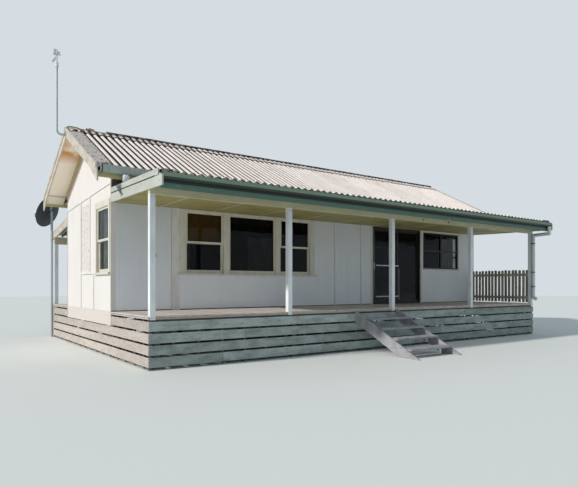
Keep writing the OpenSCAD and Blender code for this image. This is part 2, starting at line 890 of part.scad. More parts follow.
// A door leaf w wide and h high, with its pane left out
module leaf(w, h) {
    difference() {
        cube([w, leaf_t, h]);
        translate([leaf_bar, -1, leaf_bar]) cube([w - 2 * leaf_bar, leaf_t + 2, h - 2 * leaf_bar]);
    }
}

module fixed_door_panel() {
    color("black")
    translate([door_x + door_w / 2, leaf_y, deck_h + frame_bar])
    leaf(door_w / 2 - frame_bar, door_h - 2 * frame_bar);
}

slide_gap = 6;
slide_w = door_w / 2 - frame_bar + leaf_bar - slide_gap;
slide_x = door_x + frame_bar + slide_gap;
slide_y = leaf_y - slide_gap - leaf_t;

// The leaf that slides to the right: it stands clear of the frame all round, on two glides in the sill
module sliding_door_panel() {
    glide = 80;
    color("black")
    translate([slide_x, slide_y, deck_h + frame_bar + slide_gap]) {
        leaf(slide_w, door_h - 2 * frame_bar - 2 * slide_gap);
        for (x = [leaf_bar, slide_w - leaf_bar - glide])
            translate([x, leaf_t / 3, seat - slide_gap]) cube([glide, leaf_t / 3, slide_gap - seat + 1]);
    }
}

module sliding_door_glass() {
    color("darkslategray", 0.6)
    translate([slide_x + leaf_bar, slide_y + (leaf_t - glass_t) / 2, deck_h + frame_bar + slide_gap + leaf_bar])
    cube([slide_w - 2 * leaf_bar, glass_t, door_h - 2 * frame_bar - 2 * slide_gap - 2 * leaf_bar]);
}

// Two white bars across the outside of the sliding leaf, at the height of a hand and of a foot
module push_bars() {
    color("white")
    for (z = [185, 1010])
        box([door_x + 140, slide_y - 18, deck_h + z], [slide_x + slide_w - 4, slide_y - seat, deck_h + z + 28]);
}

module back_door() {
    color("beige")
    translate([back_door_x, half_depth - 60, deck_h])
    cube([back_door_w, 40, back_head_h]);
}

step_x = 68;
stringer_t = 40;
stringer_h = 230;
tread_t = 35;

// A flight of open treads between two raking stringers, whose top edge reaches the underside of the deck
module steps() {
    risers = 5;
    rise = deck_h / risers;
    going = step_run / risers;
    slope = floor_under / step_run;
    foot = stringer_h / slope;
    color("lightslategray")
    translate([step_x - step_w, deck_front, 0]) {
        for (x = [0, step_w - stringer_t])
            along_x(x, x + stringer_t)
            polygon([[0, floor_under], [0, floor_under - stringer_h], [foot - step_run, 0], [-step_run, 0]]);
        for (k = [1:risers - 1])
            box([stringer_t, -(k + 0.35) * going, deck_h - k * rise - tread_t],
                [step_w - stringer_t, -(k - 0.45) * going, deck_h - k * rise]);
    }
}

// A row of palings with clipped tops on two rails, along the right end of the veranda
module balustrade() {
    count = 17;
    clip = 18;
    front = post_y + post_w / 2;
    pitch = (-half_depth - front) / count;
    x = half_len - post_inset - post_w;
    top = deck_h + rail_h;
    color("dimgray") {
        for (z = [120, 760])
            box([x, front, deck_h + z], [x + 35, -half_depth, deck_h + z + 70]);
        for (k = [0:count - 1]) {
            mid = front + (k + 0.5) * pitch;
            half = paling_w / 2;
            along_x(x + 35 - eps, x + 53)
            polygon([[mid - half, deck_h + 40], [mid + half, deck_h + 40], [mid + half, top - clip],
                     [mid + half - clip, top], [mid - half + clip, top], [mid - half, top - clip]]);
        }
    }
}

mast_r = 22;
mast_out = 170;
mast_top = ridge_h + 1270;

// A mast on the peak of the left gable: out of the barge boards, round a bend and up
module antenna() {
    bend = 90;
    foot_z = ridge_h - 110;
    color("silver")
    translate([roof_left, 0, foot_z]) {
        translate([bend - mast_out, 0, 0]) rotate([0, 90, 0])
            cylinder(r = mast_r, h = mast_out - bend, $fn = 32);
        translate([bend - mast_out, 0, bend]) rotate([90, 0, 0]) rotate([0, 0, 180])
            rotate_extrude(angle = 90, $fn = 64) translate([bend, 0]) circle(r = mast_r, $fn = 32);
        translate([-mast_out, 0, bend]) cylinder(r = mast_r, h = mast_top - foot_z - bend, $fn = 32);
    }
}

// The head on the mast: a clamp, a thinner stub, a cross bar and three blades
module antenna_head() {
    clamp_h = 95;
    stub_h = 370;
    color("whitesmoke")
    translate([roof_left - mast_out, 0, mast_top + seat]) {
        cylinder(r = 34, h = clamp_h, $fn = 32);
        cylinder(r = 15, h = stub_h, $fn = 24);
        translate([-75, -12, 255]) cube([150, 24, 22]);
        translate([-62, -5, 240]) cube([50, 10, 130]);
        translate([12, -5, 262]) cube([48, 10, 70]);
        rotate([0, 0, 180]) translate([8, -4, 235]) rotate([0, 145, 0]) cube([38, 8, 165]);
    }
}

pole_r = 30;

// The dish's shell, hollow side up, with its middle at the origin
module dish_shell() {
    depth = 80;
    shell = 4;
    curve = (dish_d * dish_d / 4 + depth * depth) / (2 * depth);
    rotate_extrude($fn = 96)
    intersection() {
        translate([0, curve]) difference() {
            circle(r = curve, $fn = 360);
            circle(r = curve - shell, $fn = 360);
        }
        translate([0, -1]) square([dish_d / 2, depth + 1]);
    }
}

// A dish on its pole, which stands on the ground beside the rear porch, and an arm to its feed
module satellite_dish() {
    color("dimgray")
    translate([-half_len - pole_r - seat, deck_back - pole_r, 0]) {
        cylinder(r = pole_r, h = dish_h + 60, $fn = 48);
        translate([0, 0, dish_h]) rotate([0, 0, 132]) rotate([0, 68, 0]) {
            translate([0, 0, pole_r - 4]) cylinder(r = 60, h = 42, $fn = 32);
            translate([0, 0, pole_r + 34]) dish_shell();
            translate([dish_d * 0.46, 0, 120]) rotate([0, -24, 0]) cylinder(r = 12, h = 420, $fn = 24);
        }
    }
}

stumps();
bearers();
floor();
front_deck();
rear_deck();
front_skirting();
side_skirting();
rear_skirting();
left_gable_wall();
right_gable_wall();
front_wall_left();
front_wall_right();
front_wall_over_door();
back_wall();
cover_strips();
front_roof();
back_roof();
ridge_capping();
verge_cappings();
barge_boards();
verge_soffit();
main_eaves();
main_gutters();
veranda_posts();
rear_porch_posts();
beams();
rafters();
veranda_ceiling();
veranda_fascia();
veranda_gutter();
veranda_roof();
veranda_end_boards();
rear_porch_roof();
rear_porch_barges();
downpipe();
window_frames();
window_sashes();
window_glass();
aluminium_window();
opening_trims();
sliding_door_frame();
fixed_door_panel();
sliding_door_panel();
sliding_door_glass();
push_bars();
back_door();
steps();
balustrade();
antenna();
antenna_head();
satellite_dish();
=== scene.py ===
"""The looks of a small sheet-clad beach house: a corrugated gable roof, a front veranda and a rear porch.

Everything is in metres, in the house's own frame: +X runs to the right along the front, +Y towards the
back and +Z up, and the origin is on the ground under the middle of the ridge.
"""
import math
import random
from itertools import product

import bmesh
import bpy
from bpy.props import FloatProperty, FloatVectorProperty, IntProperty, PointerProperty
from bpy.types import Operator, Panel, PropertyGroup
from mathutils import Matrix, Vector


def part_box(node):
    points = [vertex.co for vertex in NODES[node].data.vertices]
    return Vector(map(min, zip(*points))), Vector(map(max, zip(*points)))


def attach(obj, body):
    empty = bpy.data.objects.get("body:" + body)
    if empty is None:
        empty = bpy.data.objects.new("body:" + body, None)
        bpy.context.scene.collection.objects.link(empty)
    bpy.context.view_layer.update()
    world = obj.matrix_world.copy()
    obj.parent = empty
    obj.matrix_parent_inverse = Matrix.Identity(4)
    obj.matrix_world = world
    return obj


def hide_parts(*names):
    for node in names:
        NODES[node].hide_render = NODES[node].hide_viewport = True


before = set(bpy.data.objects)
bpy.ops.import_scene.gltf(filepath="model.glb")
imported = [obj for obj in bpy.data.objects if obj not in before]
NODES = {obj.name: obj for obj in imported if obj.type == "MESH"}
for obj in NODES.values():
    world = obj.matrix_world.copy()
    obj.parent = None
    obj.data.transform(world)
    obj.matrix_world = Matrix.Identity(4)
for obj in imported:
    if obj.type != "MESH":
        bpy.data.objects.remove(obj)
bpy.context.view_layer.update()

bl_info = {
    "name": "Beach House",
    "version": (1, 0, 0),
    "blender": (4, 5, 0),
    "location": "3D View > Sidebar > Beach House",
    "description": "Builds the visible pieces and finishes of a small beach house round its packed model",
    "category": "Add Mesh",
}

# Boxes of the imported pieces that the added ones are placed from
DECK_LOW, DECK_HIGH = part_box("front_deck")
WALL_LOW, WALL_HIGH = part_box("left_gable_wall")
EAVE_LOW, EAVE_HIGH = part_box("main_eaves")
REAR_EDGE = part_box("rear_deck")[1].y
ROOF_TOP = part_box("front_roof")[1].z
WALL_THICK = WALL_HIGH.x - WALL_LOW.x
HALF_LENGTH = -WALL_LOW.x
HALF_DEPTH = -WALL_LOW.y
DECK_Z = DECK_HIGH.z
INSIDE = WALL_THICK - HALF_DEPTH  # Inner face of the front wall

# The photograph's camera, level and looking to the right
CAMERA_PLACE = (-8.5755, -11.642, 1.349)
CAMERA_YAW = math.radians(-35.55)
CAMERA_LENS = 32.73
CAMERA_SHIFT = 0.0728

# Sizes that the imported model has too
STRIP_WIDE = 0.042  # Cover strips
BARGE_DEEP = 0.19
BARGE_THICK = 0.025
DISH_WIDE = 0.83
DISH_POLE = Vector((-HALF_LENGTH - 0.0303, REAR_EDGE - 0.03, 3.25))

# Sizes of what is added
WAVE_STEPS = 14  # Steps in which each wave of a sheet is drawn
FILLET_THICK = 0.014  # Fillets on the left barge boards
OPEN_JOINT = 0.009  # Open joints between the wall sheets

# Radius, height and number of sides of the round heads
STRIP_NAIL = (0.0045, 0.002, 8)
DECK_NAIL = (0.0045, 0.0012, 6)
SKIRTING_NAIL = (0.0055, 0.0015, 8)
PALING_NAIL = (0.005, 0.002, 8)
BOARD_NAIL = (0.006, 0.002, 8)
VERGE_NAIL = (0.013, 0.005, 10)
CAP_NAIL = (0.012, 0.005, 10)
ROOF_WASHER = (0.016, 0.004, 12)
ROOF_SCREW = (0.009, 0.011, 8)
FLANGE_SCREW = (0.006, 0.004, 8)
BRACKET_SCREW = (0.005, 0.002, 10)
POST_BOLT = (0.006, 0.003, 8)
END_BOARD_BOLT = (0.007, 0.003, 8)
BEAM_BOLT = (0.02, 0.012, 12)
HOOK_PLATE = (0.013, 0.003, 12)


def srgb(code):
    """A colour written as sRGB hex, as linear red, green and blue."""
    parts = [int(code[i:i + 2], 16) / 255 for i in (1, 3, 5)]
    return tuple(c / 12.92 if c <= 0.04045 else ((c + 0.055) / 1.055) ** 2.4 for c in parts)


def length(name, description, default, low, high):
    """A size that the panel shows in the scene's units."""
    return FloatProperty(name=name, description=description, default=default, min=low, max=high,
                         unit="LENGTH", subtype="DISTANCE")


def angle(name, description, degrees, low, high):
    """An angle that the panel shows in degrees."""
    return FloatProperty(name=name, description=description, default=math.radians(degrees), min=low,
                         max=high, unit="ROTATION", subtype="ANGLE")


def number(name, description, default, low, high):
    """A whole number that the panel shows."""
    return IntProperty(name=name, description=description, default=default, min=low, max=high)


def tint(name, description, code):
    """A colour that the panel shows, with its default written as sRGB hex."""
    return FloatVectorProperty(name=name, description=description, default=srgb(code), min=0, max=1,
                               size=3, subtype="COLOR")


class RoofSettings(PropertyGroup):
    """Sizes of the corrugated sheets and of their fixings"""
    wave_pitch: length("Wave Pitch", "Distance between two waves of the sheets", 0.146, 0.1, 0.18)
    wave_height: length("Wave Height", "Height of a wave", 0.048, 0.02, 0.06)
    sheet: length("Sheet", "Thickness of the sheets", 0.006, 0.004, 0.01)
    pitch: angle("Pitch", "Pitch of the main roof", 27.5, 0.3, 0.7)
    veranda_fall: angle("Veranda Fall", "Fall of the veranda's roof", 1.3, 0.01, 0.2)
    porch_fall: angle("Porch Fall", "Fall of the rear porch's roof", 8, 0.05, 0.25)
    wing: length("Ridge Wing", "Reach of the ridge capping's wings down each slope", 0.25, 0.1, 0.4)
    roll: length("Ridge Roll", "Radius of the ridge capping's roll", 0.044, 0.03, 0.08)
    cover: number("Cover", "Waves that one sheet covers", 7, 4, 12)


class TimberSettings(PropertyGroup):
    """Sizes of the deck boards and of the balustrade's palings, and the start of all random draws"""
    deck_board: length("Deck Board", "Width of a deck board", 0.09, 0.06, 0.15)
    deck_gap: length("Deck Gap", "Open gap between two deck boards", 0.004, 0.002, 0.01)
    paling: length("Paling", "Width of a paling of the balustrade", 0.075, 0.05, 0.1)
    palings: number("Palings", "Palings on the balustrade", 17, 8, 24)
    seed: number("Seed", "Start of the random draws for board tones and lengths", 7, 0, 999)


class ColourSettings(PropertyGroup):
    """Colours of the paints and of the bare materials"""
    # The walls and the gables have one paint, drawn as two copies: the walls' copy is paler and bluer,
    # painted sky light on the shaded front, and the gables' copy is darker against the sun that lights them
    wall: tint("Wall Paint", "Off-white wall paint", "#F3F5FA")
    # Painted light: a darker copy of the wall paint, for the sunlit gables
    gable: tint("Gable Paint", "Sun-bleached off-white of the gables", "#E0DAD6")
    wall_foot: tint("Wall Foot", "Pinkish cream paint below the floor", "#D1C7BF")
    # Painted shade: the rooms' inner walls are drawn this dark brown so that the rooms read unlit
    lining: tint("Lining", "Dark stained hardboard inside the rooms", "#3A2C20")
    roof: tint("Roof Sheets", "Bleached fibre cement", "#F3E8E1")
    lichen: tint("Lichen", "Dark lichen on the roof", "#3B3633")
    verge: tint("Verge Sheets", "Grey flat fibre cement", "#D2C7BC")
    cream: tint("Cream Paint", "Aged cream of the barge boards", "#CEC4B5")
    trim: tint("Window Paint", "Cream of the window joinery", "#DAD6C6")
    white: tint("Post Paint", "White of the posts", "#EBEDEE")
    beam: tint("Beam Paint", "Aged cream of the veranda's beam and rafters", "#CFCAA6")
    ceiling: tint("Ceiling Paint", "Yellowed cream of the veranda's ceiling", "#AEA468")
    end_board: tint("End Board Paint", "Pale grey-green of the end boards", "#BDC0B6")
    green: tint("Green Paint", "Green of the veranda gutter", "#78907A")
    fascia: tint("Fascia Paint", "Darker green of the veranda fascia", "#567465")
    grey_green: tint("Old Gutter Paint", "Grey-green of the main gutters", "#A6B0AA")
    front_skirt: tint("Front Skirting", "Thin grey-green of the front skirting", "#B0BCB7")
    side_skirt: tint("Side Skirting", "Thin pinkish cream of the side skirting", "#C8BDB4")
    deck: tint("Deck Paint", "Worn pinkish deck paint", "#E3D8D0")
    bare_wood: tint("Bare Wood", "Silvered hardwood of the steps", "#ACABAF")
    old_wood: tint("Old Wood", "Dark hardwood of the stumps and bearers", "#5E564D")
    # Partly painted shade: the stumps, bearers and skirting battens are drawn this dark so that the gaps
    # under the house read shaded
    paling: tint("Palings", "Bare sawn hardwood of the balustrade", "#B8AE9E")
    anodised: tint("Dark Aluminium", "Dark anodised aluminium", "#191A19")
    galvanised: tint("Galvanised Steel", "Dull galvanised steel", "#BCC3C5")
    dish: tint("Dish Paint", "Matt dark grey of the dish", "#3F454A")
    blind: tint("Blind", "Tan cloth of the roller blind", "#B88236")
    curtain: tint("Curtains", "Pale cloth of the curtains", "#EDECE6")


def colours():
    return bpy.context.scene.beach_house_colours


def roof_sizes():
    return bpy.context.scene.beach_house_roof


def timber_sizes():
    return bpy.context.scene.beach_house_timber


# Materials


def add_node(tree, kind, inputs=None, **settings):
    """Adds a shader node, sets its properties, and sets or links its inputs."""
    node = tree.nodes.new(kind)
    for key, value in settings.items():
        setattr(node, key, value)
    for key, value in (inputs or {}).items():
        if isinstance(value, bpy.types.NodeSocket):
            tree.links.new(value, node.inputs[key])
        else:
            node.inputs[key].default_value = value
    return node


def paint(colour, share=1.0):
    """A colour with full alpha, darkened or lightened by a share. It is given as sRGB hex, as the name of a
    setting, or as linear red, green and blue."""
    if isinstance(colour, str):
        colour = srgb(colour) if colour.startswith("#") else getattr(colours(), colour)
    return tuple(min(1, c * share) for c in colour) + (1,)


def start_material(roughness, **sockets):
    """A new material, still without its own name, with its surface shader and its coordinates, in metres
    from the house's origin."""
    made = bpy.data.materials.new("finish")
    made.use_nodes = True
    tree = made.node_tree
    tree.nodes.clear()
    place = add_node(tree, "ShaderNodeTexCoord").outputs["Object"]
    settings = {key.replace("_", " "): value for key, value in sockets.items()}
    shader = add_node(tree, "ShaderNodeBsdfPrincipled", {"Roughness": roughness, **settings})
    add_node(tree, "ShaderNodeOutputMaterial", {"Surface": shader.outputs["BSDF"]})
    return made, tree, place, shader


def patches(tree, place, size, low, high, detail=4, shift=0.0):
    """A mask of soft patches whose sizes along X, Y and Z are in metres: 0 below low, 1 above high."""
    scaled = add_node(tree, "ShaderNodeMapping", {"Vector": place, "Location": (shift, shift, shift),
                                                  "Scale": tuple(1 / s for s in size)})
    cloud = add_node(tree, "ShaderNodeTexNoise", {"Vector": scaled.outputs["Vector"], "Scale": 1.0,
                                                  "Detail": detail})
    return add_node(tree, "ShaderNodeMapRange", {"Value": cloud.outputs["Fac"], "From Min": low,
                                                 "From Max": high}).outputs["Result"]


def along(axis, run, across):
    """Patch sizes that are long along one axis and narrow along the other two."""
    return tuple(run if name == axis else across for name in "XYZ")


def surface(tree, shader, base, *coats, relief=None, depth=0.001, strength=0.5):
    """Lays coats of colour over a base, each where its mask is 1, and turns a relief into fine bumps."""
    colour = base
    for mask, over, *blend in coats:
        colour = add_node(tree, "ShaderNodeMix", {0: mask, 6: colour, 7: over}, data_type="RGBA",
                          blend_type=blend[0] if blend else "MIX").outputs[2]
    if coats:
        tree.links.new(colour, shader.inputs["Base Color"])
    else:
        shader.inputs["Base Color"].default_value = base
    if relief is not None:
        bump = add_node(tree, "ShaderNodeBump", {"Height": relief, "Distance": depth, "Strength": strength})
        tree.links.new(bump.outputs["Normal"], shader.inputs["Normal"])


def near_to(tree, value, middle, half, soft=0.006):
    """A mask of where a value lies within half a width of a middle, with a soft edge."""
    away = add_node(tree, "ShaderNodeMath", {0: value, 1: middle}, operation="SUBTRACT").outputs[0]
    away = add_node(tree, "ShaderNodeMath", {0: away}, operation="ABSOLUTE").outputs[0]
    return add_node(tree, "ShaderNodeMapRange", {"Value": away, "From Min": half + soft,
                                                 "From Max": half}).outputs["Result"]


def where_all(tree, mask, *others):
    """A mask that is 1 where all of the masks are."""
    for other in others:
        mask = add_node(tree, "ShaderNodeMath", {0: mask, 1: other}, operation="MULTIPLY").outputs[0]
    return mask


def indoors(tree, place):
    """A mask of what lies inside the middle of the walls, so that a wall's inner face can be painted dark:
    painted shade of the unlit rooms.
    """
    split = add_node(tree, "ShaderNodeSeparateXYZ", {"Vector": place}).outputs
    masks = []
    for axis, reach in (("X", HALF_LENGTH), ("Y", HALF_DEPTH)):
        away = add_node(tree, "ShaderNodeMath", {0: split[axis]}, operation="ABSOLUTE").outputs[0]
        masks.append(add_node(tree, "ShaderNodeMath", {0: away, 1: reach - WALL_THICK / 2},
                              operation="LESS_THAN").outputs[0])
    return where_all(tree, *masks)


def flat_fibre_cement(colour, foot=None, stain=None, damp_at=None, with_painted_shade=False):
    """Flat fibre-cement sheet under old acrylic: a dead flat face, faint rain streaks and small chips.
    The gables have a foot in its own colour and a crackled panel, and the other walls darken towards the
    ceiling: painted shade under the porch roofs. Where lined is given, the walls' inner faces are painted
    dark: painted shade of the unlit rooms. Where a stain is given, damp has left patches of it: all over,
    or only near Y = damp_at."""
    made, tree, place, shader = start_material(0.62)
    split = add_node(tree, "ShaderNodeSeparateXYZ", {"Vector": place}).outputs
    mottle = patches(tree, place, (0.45, 0.45, 0.6), 0.3, 0.75)
    streak = patches(tree, place, (0.06, 0.06, 1.3), 0.56, 0.8, 5)
    chips = patches(tree, place, (0.016, 0.016, 0.022), 0.7, 0.73, 6)
    coats = [(mottle, paint(colour))]
    if foot is not None:
        below = add_node(tree, "ShaderNodeMath", {0: split["Z"], 1: DECK_Z + 0.01},
                         operation="LESS_THAN").outputs[0]
        coats.append((below, paint(foot)))
        # Crackle of 60 mm cells, drawn coarser than the real 15 mm ones so that it still shows
        crazed = add_node(tree, "ShaderNodeTexVoronoi", {"Vector": place, "Scale": 1 / 0.06},
                          feature="DISTANCE_TO_EDGE").outputs["Distance"]
        crazed = near_to(tree, crazed, 0.0, 0.04, 0.08)
        panel = where_all(tree, near_to(tree, split["Y"], 0.08, 0.35), near_to(tree, split["Z"], 2.36, 0.7))
        coats.append((where_all(tree, crazed, panel), paint(colour, 0.66)))
    elif with_painted_shade:
        # Painted shade: the walls darken from the floor upwards towards the porch ceilings
        ceiling_shade = add_node(tree, "ShaderNodeMapRange", {"Value": split["Z"], "From Min": DECK_Z,
                                                      "From Max": DECK_Z + 2.1}).outputs["Result"]
        coats.append((ceiling_shade, paint((0.74, 0.75, 0.74)), "MULTIPLY"))
    if stain is not None:
        limits = (0.5, 0.7) if damp_at is None else (0.32, 0.55)
        damp = patches(tree, place, (0.5, 0.35, 0.35), *limits, 5, 1.7)
        if damp_at is not None:
            damp = where_all(tree, damp, near_to(tree, split["Y"], damp_at, 0.12, 0.3))
        coats.append((damp, paint(stain)))
    coats += [(streak, paint((0.93, 0.92, 0.9)), "MULTIPLY"), (chips, paint(colour, 0.72))]
    # Painted shade: the inner faces take the dark brown of the unlit rooms
    if with_painted_shade:
        coats.append((indoors(tree, place), paint("lining")))
    grain = patches(tree, place, (0.006, 0.006, 0.006), 0.2, 0.8)
    surface(tree, shader, paint(colour, 0.95), *coats, relief=grain, depth=0.0008)
    return made


def painted_timber(colour, axis, wear=0.2, roughness=0.45, bare="#8A8177", boards=0.0, grime=0.12,
                   outer=None, shade_band=None):
    """Oil paint brushed on sawn softwood: it keeps the saw's grain, dulls in patches and flakes with age.
    Where outer is given, a colour and a distance, faces that far from the ridge's line are in that colour.
    Where soiled is given, a height and half a width, a black band of painted shade runs there: a gutter's
    shadow."""
    made, tree, place, shader = start_material(roughness)
    grain = patches(tree, place, along(axis, 0.5, 0.009), 0.25, 0.75)
    cloud = patches(tree, place, along(axis, 0.12, 0.035), 0, 1, 6)
    mottle = patches(tree, place, along(axis, 0.9, 0.25), 0.3, 0.7, 3)
    smudge = patches(tree, place, along(axis, 0.3, 0.1), 0.42, 0.68, 6, 5.0)
    edge = 0.9 - 0.34 * wear
    cloud = add_node(tree, "ShaderNodeMath", {0: grain, 1: 0.12, 2: cloud},
                     operation="MULTIPLY_ADD").outputs[0]
    flaked = add_node(tree, "ShaderNodeMapRange", {"Value": cloud, "From Min": edge, "From Max": edge + 0.09,
                                                   "To Max": 0.8}).outputs["Result"]
    coats = [(mottle, paint(colour))]
    if outer:
        away = add_node(tree, "ShaderNodeSeparateXYZ", {"Vector": place}).outputs["Y"]
        away = add_node(tree, "ShaderNodeMath", {0: away}, operation="ABSOLUTE").outputs[0]
        away = add_node(tree, "ShaderNodeMath", {0: away, 1: outer[1]}, operation="GREATER_THAN").outputs[0]
        coats.append((away, paint(outer[0])))
    coats += [(smudge, paint((1 - grime,) * 3), "MULTIPLY"), (flaked, paint(bare))]
    if shade_band:
        # Painted shade: a near-black band at the given height
        height = add_node(tree, "ShaderNodeSeparateXYZ", {"Vector": place}).outputs["Z"]
        coats.append((near_to(tree, height, *shade_band), paint(colour, 0.2)))
    if boards:
        tone = add_node(tree, "ShaderNodeAttribute", attribute_name="board_tone").outputs["Fac"]
        fleck = patches(tree, place, along(axis, 0.07, 0.02), 0.56, 0.68, 6, 9.0)
        coats += [(tone, paint((1 - boards,) * 3), "MULTIPLY"),
                  (fleck, paint((0.66, 0.68, 0.66)), "MULTIPLY")]
    surface(tree, shader, paint(colour, 0.92), *coats, relief=grain, depth=0.0012, strength=0.35)
    return made


def bare_hardwood(colour, axis, boards=0.25):
    """Hardwood left bare to the weather: silvered on the face, dark along its checks and open grain."""
    made, tree, place, shader = start_material(0.8)
    grain = patches(tree, place, along(axis, 0.45, 0.006), 0.3, 0.7, 5)
    checks = patches(tree, place, along(axis, 0.3, 0.004), 0.6, 0.68, 3, 4.0)
    stain = patches(tree, place, (0.16, 0.16, 0.3), 0.45, 0.7)
    tone = add_node(tree, "ShaderNodeAttribute", attribute_name="board_tone").outputs["Fac"]
    surface(tree, shader, paint(colour, 0.68), (grain, paint(colour, 1.12)),
            (stain, paint((0.7, 0.7, 0.7)), "MULTIPLY"), (checks, paint(colour, 0.4)),
            (tone, paint((1 - boards,) * 3), "MULTIPLY"), relief=grain, depth=0.0018, strength=0.6)
    return made


def corrugated_fibre_cement(colour, top):
    """Unpainted fibre-cement roofing: bleached crests, black down its valleys, partly grime and partly
    painted shade of the raking light, and lichen near the top.
    """
    made, tree, place, shader = start_material(0.85)
    height = add_node(tree, "ShaderNodeSeparateXYZ", {"Vector": place}).outputs["Z"]
    # The valleys' black is partly real grime and partly painted shade of the raking light
    grime = add_node(tree, "ShaderNodeAttribute", attribute_name="valley").outputs["Fac"]
    wander = patches(tree, place, (0.12, 0.4, 0.3), 0, 0.3, 5)
    grime = add_node(tree, "ShaderNodeMath", {0: grime, 1: wander}, operation="ADD").outputs[0]
    valley = add_node(tree, "ShaderNodeMapRange", {"Value": grime, "From Min": 1.52,
                                                   "From Max": 1.72}).outputs["Result"]
    mottle = patches(tree, place, (0.5, 0.6, 0.4), 0.3, 0.7)
    soot = patches(tree, place, (0.1, 0.5, 0.3), 0.42, 0.7, 5)
    near_top = add_node(tree, "ShaderNodeMapRange", {"Value": height, "From Min": top - 0.7,
                                                     "From Max": top, "To Max": 0.07}).outputs["Result"]
    spots = patches(tree, place, (0.045, 0.07, 0.06), 0, 1, 6, 3.0)
    spots = add_node(tree, "ShaderNodeMath", {0: spots, 1: near_top}, operation="ADD").outputs[0]
    spots = add_node(tree, "ShaderNodeMapRange", {"Value": spots, "From Min": 0.68,
                                                  "From Max": 0.72}).outputs["Result"]
    grit = patches(tree, place, (0.02, 0.02, 0.02), 0.52, 0.72)
    tone = add_node(tree, "ShaderNodeAttribute", attribute_name="board_tone").outputs["Fac"]
    surface(tree, shader, paint(colour, 0.92), (mottle, paint(colour)),
            (tone, paint((0.9,) * 3), "MULTIPLY"), (soot, paint((0.88, 0.86, 0.85)), "MULTIPLY"),
            (grit, paint((0.84, 0.8, 0.78)), "MULTIPLY"), (valley, paint("lichen", 0.12)),
            (spots, paint("lichen")), relief=grit, depth=0.0012, strength=0.6)
    return made


def lichen_cement(colour, lichen, cover, speck=0.014):
    """Fibre cement that lichen has overgrown: a speckled crust over the pale sheet."""
    made, tree, place, shader = start_material(0.9)
    crust = patches(tree, place, (0.09, 0.09, 0.07), 0.72 - 0.34 * cover, 0.8 - 0.34 * cover, 6)
    fleck = patches(tree, place, (speck,) * 3, 0.52, 0.62)
    mottle = patches(tree, place, (0.3, 0.3, 0.3), 0.3, 0.7)
    surface(tree, shader, paint(colour, 0.85), (mottle, paint(colour)), (fleck, paint(colour, 0.55)),
            (crust, paint(lichen)), relief=crust, depth=0.002)
    return made


def painted_steel(colour, roughness=0.4, age=0.5, mould=False, pole=None):
    """Gloss enamel on folded steel: smooth, with chalky patches and rain-drawn grime. Where mould is given,
    its downward faces are drawn nearly black: painted shade under a gutter. Where pole is given, X, Y and
    half a width, what stands there is left galvanised."""
    made, tree, place, shader = start_material(roughness)
    streak = patches(tree, place, (0.04, 0.04, 0.4), 0.45, 0.75, 5)
    chalk = patches(tree, place, (0.3, 0.1, 0.1), 0.45, 0.75, 4, 2.0)
    coats = [(chalk, paint(colour, 1 + 0.3 * age)), (streak, paint(colour, 1 - 0.3 * age))]
    if mould:
        # Painted shade: faces that look down are darkened to near black
        facing = add_node(tree, "ShaderNodeNewGeometry").outputs["True Normal"]
        facing = add_node(tree, "ShaderNodeSeparateXYZ", {"Vector": facing}).outputs["Z"]
        under = add_node(tree, "ShaderNodeMath", {0: facing, 1: -0.3}, operation="LESS_THAN").outputs[0]
        coats.append((under, paint(colour, 0.12)))
    if pole:
        split = add_node(tree, "ShaderNodeSeparateXYZ", {"Vector": place}).outputs
        stands = [near_to(tree, split[axis], middle, pole[2]) for axis, middle in zip("XY", pole)]
        coats.append((where_all(tree, *stands), paint("galvanised", 0.8)))
    surface(tree, shader, paint(colour), *coats)
    return made


def anodised_aluminium(colour):
    """Extruded aluminium with a dark anodised skin: satin, with a faint metal glint and a film of dust."""
    made, tree, place, shader = start_material(0.38, Metallic=0.55)
    dust = patches(tree, place, (0.12, 0.12, 0.2), 0.45, 0.8, 5)
    surface(tree, shader, paint(colour), (dust, paint(colour, 1.9)))
    return made


def galvanised_steel(colour):
    """Hot-dipped zinc on steel tube: dull grey, with the 18 mm crystal spangle that the bath leaves."""
    made, tree, place, shader = start_material(0.5, Metallic=0.3)
    crystals = add_node(tree, "ShaderNodeTexVoronoi", {"Vector": place, "Scale": 1 / 0.018})
    spangle = add_node(tree, "ShaderNodeSeparateColor", {"Color": crystals.outputs["Color"]}).outputs[0]
    rust = patches(tree, place, (0.03, 0.03, 0.08), 0.66, 0.74, 5)
    surface(tree, shader, paint(colour, 0.8), (spangle, paint(colour, 1.1)), (rust, paint("#7A4A2C")))
    return made


def float_glass():
    """Float glass over dark rooms: smooth and dark, with a film of salt that dulls its reflections."""
    made, tree, place, shader = start_material(0.04, Transmission_Weight=1.0, IOR=1.22,
                                               Specular_IOR_Level=0.12)
    film = patches(tree, place, (0.2, 0.2, 0.25), 0.4, 0.8)
    surface(tree, shader, paint((0.42, 0.44, 0.43)), (film, paint((0.34, 0.36, 0.35))))
    return made


def woven_cloth(colour):
    """Plain woven cotton, its thread drawn coarser than the real 0.4 mm one so that it still shows."""
    thread = 0.004
    made, tree, place, shader = start_material(0.9, Sheen_Weight=0.25)
    warp, weft = (add_node(tree, "ShaderNodeTexWave", {"Vector": place, "Scale": 0.5 / thread},
                           bands_direction=axis).outputs["Fac"] for axis in "XZ")
    weave = add_node(tree, "ShaderNodeMath", {0: warp, 1: weft}, operation="MAXIMUM").outputs[0]
    fade = patches(tree, place, (0.3, 0.3, 0.5), 0.3, 0.7)
    surface(tree, shader, paint(colour), (fade, paint(colour, 0.8)),
            (weave, paint((0.75,) * 3), "MULTIPLY"), relief=weave, depth=0.0006)
    return made


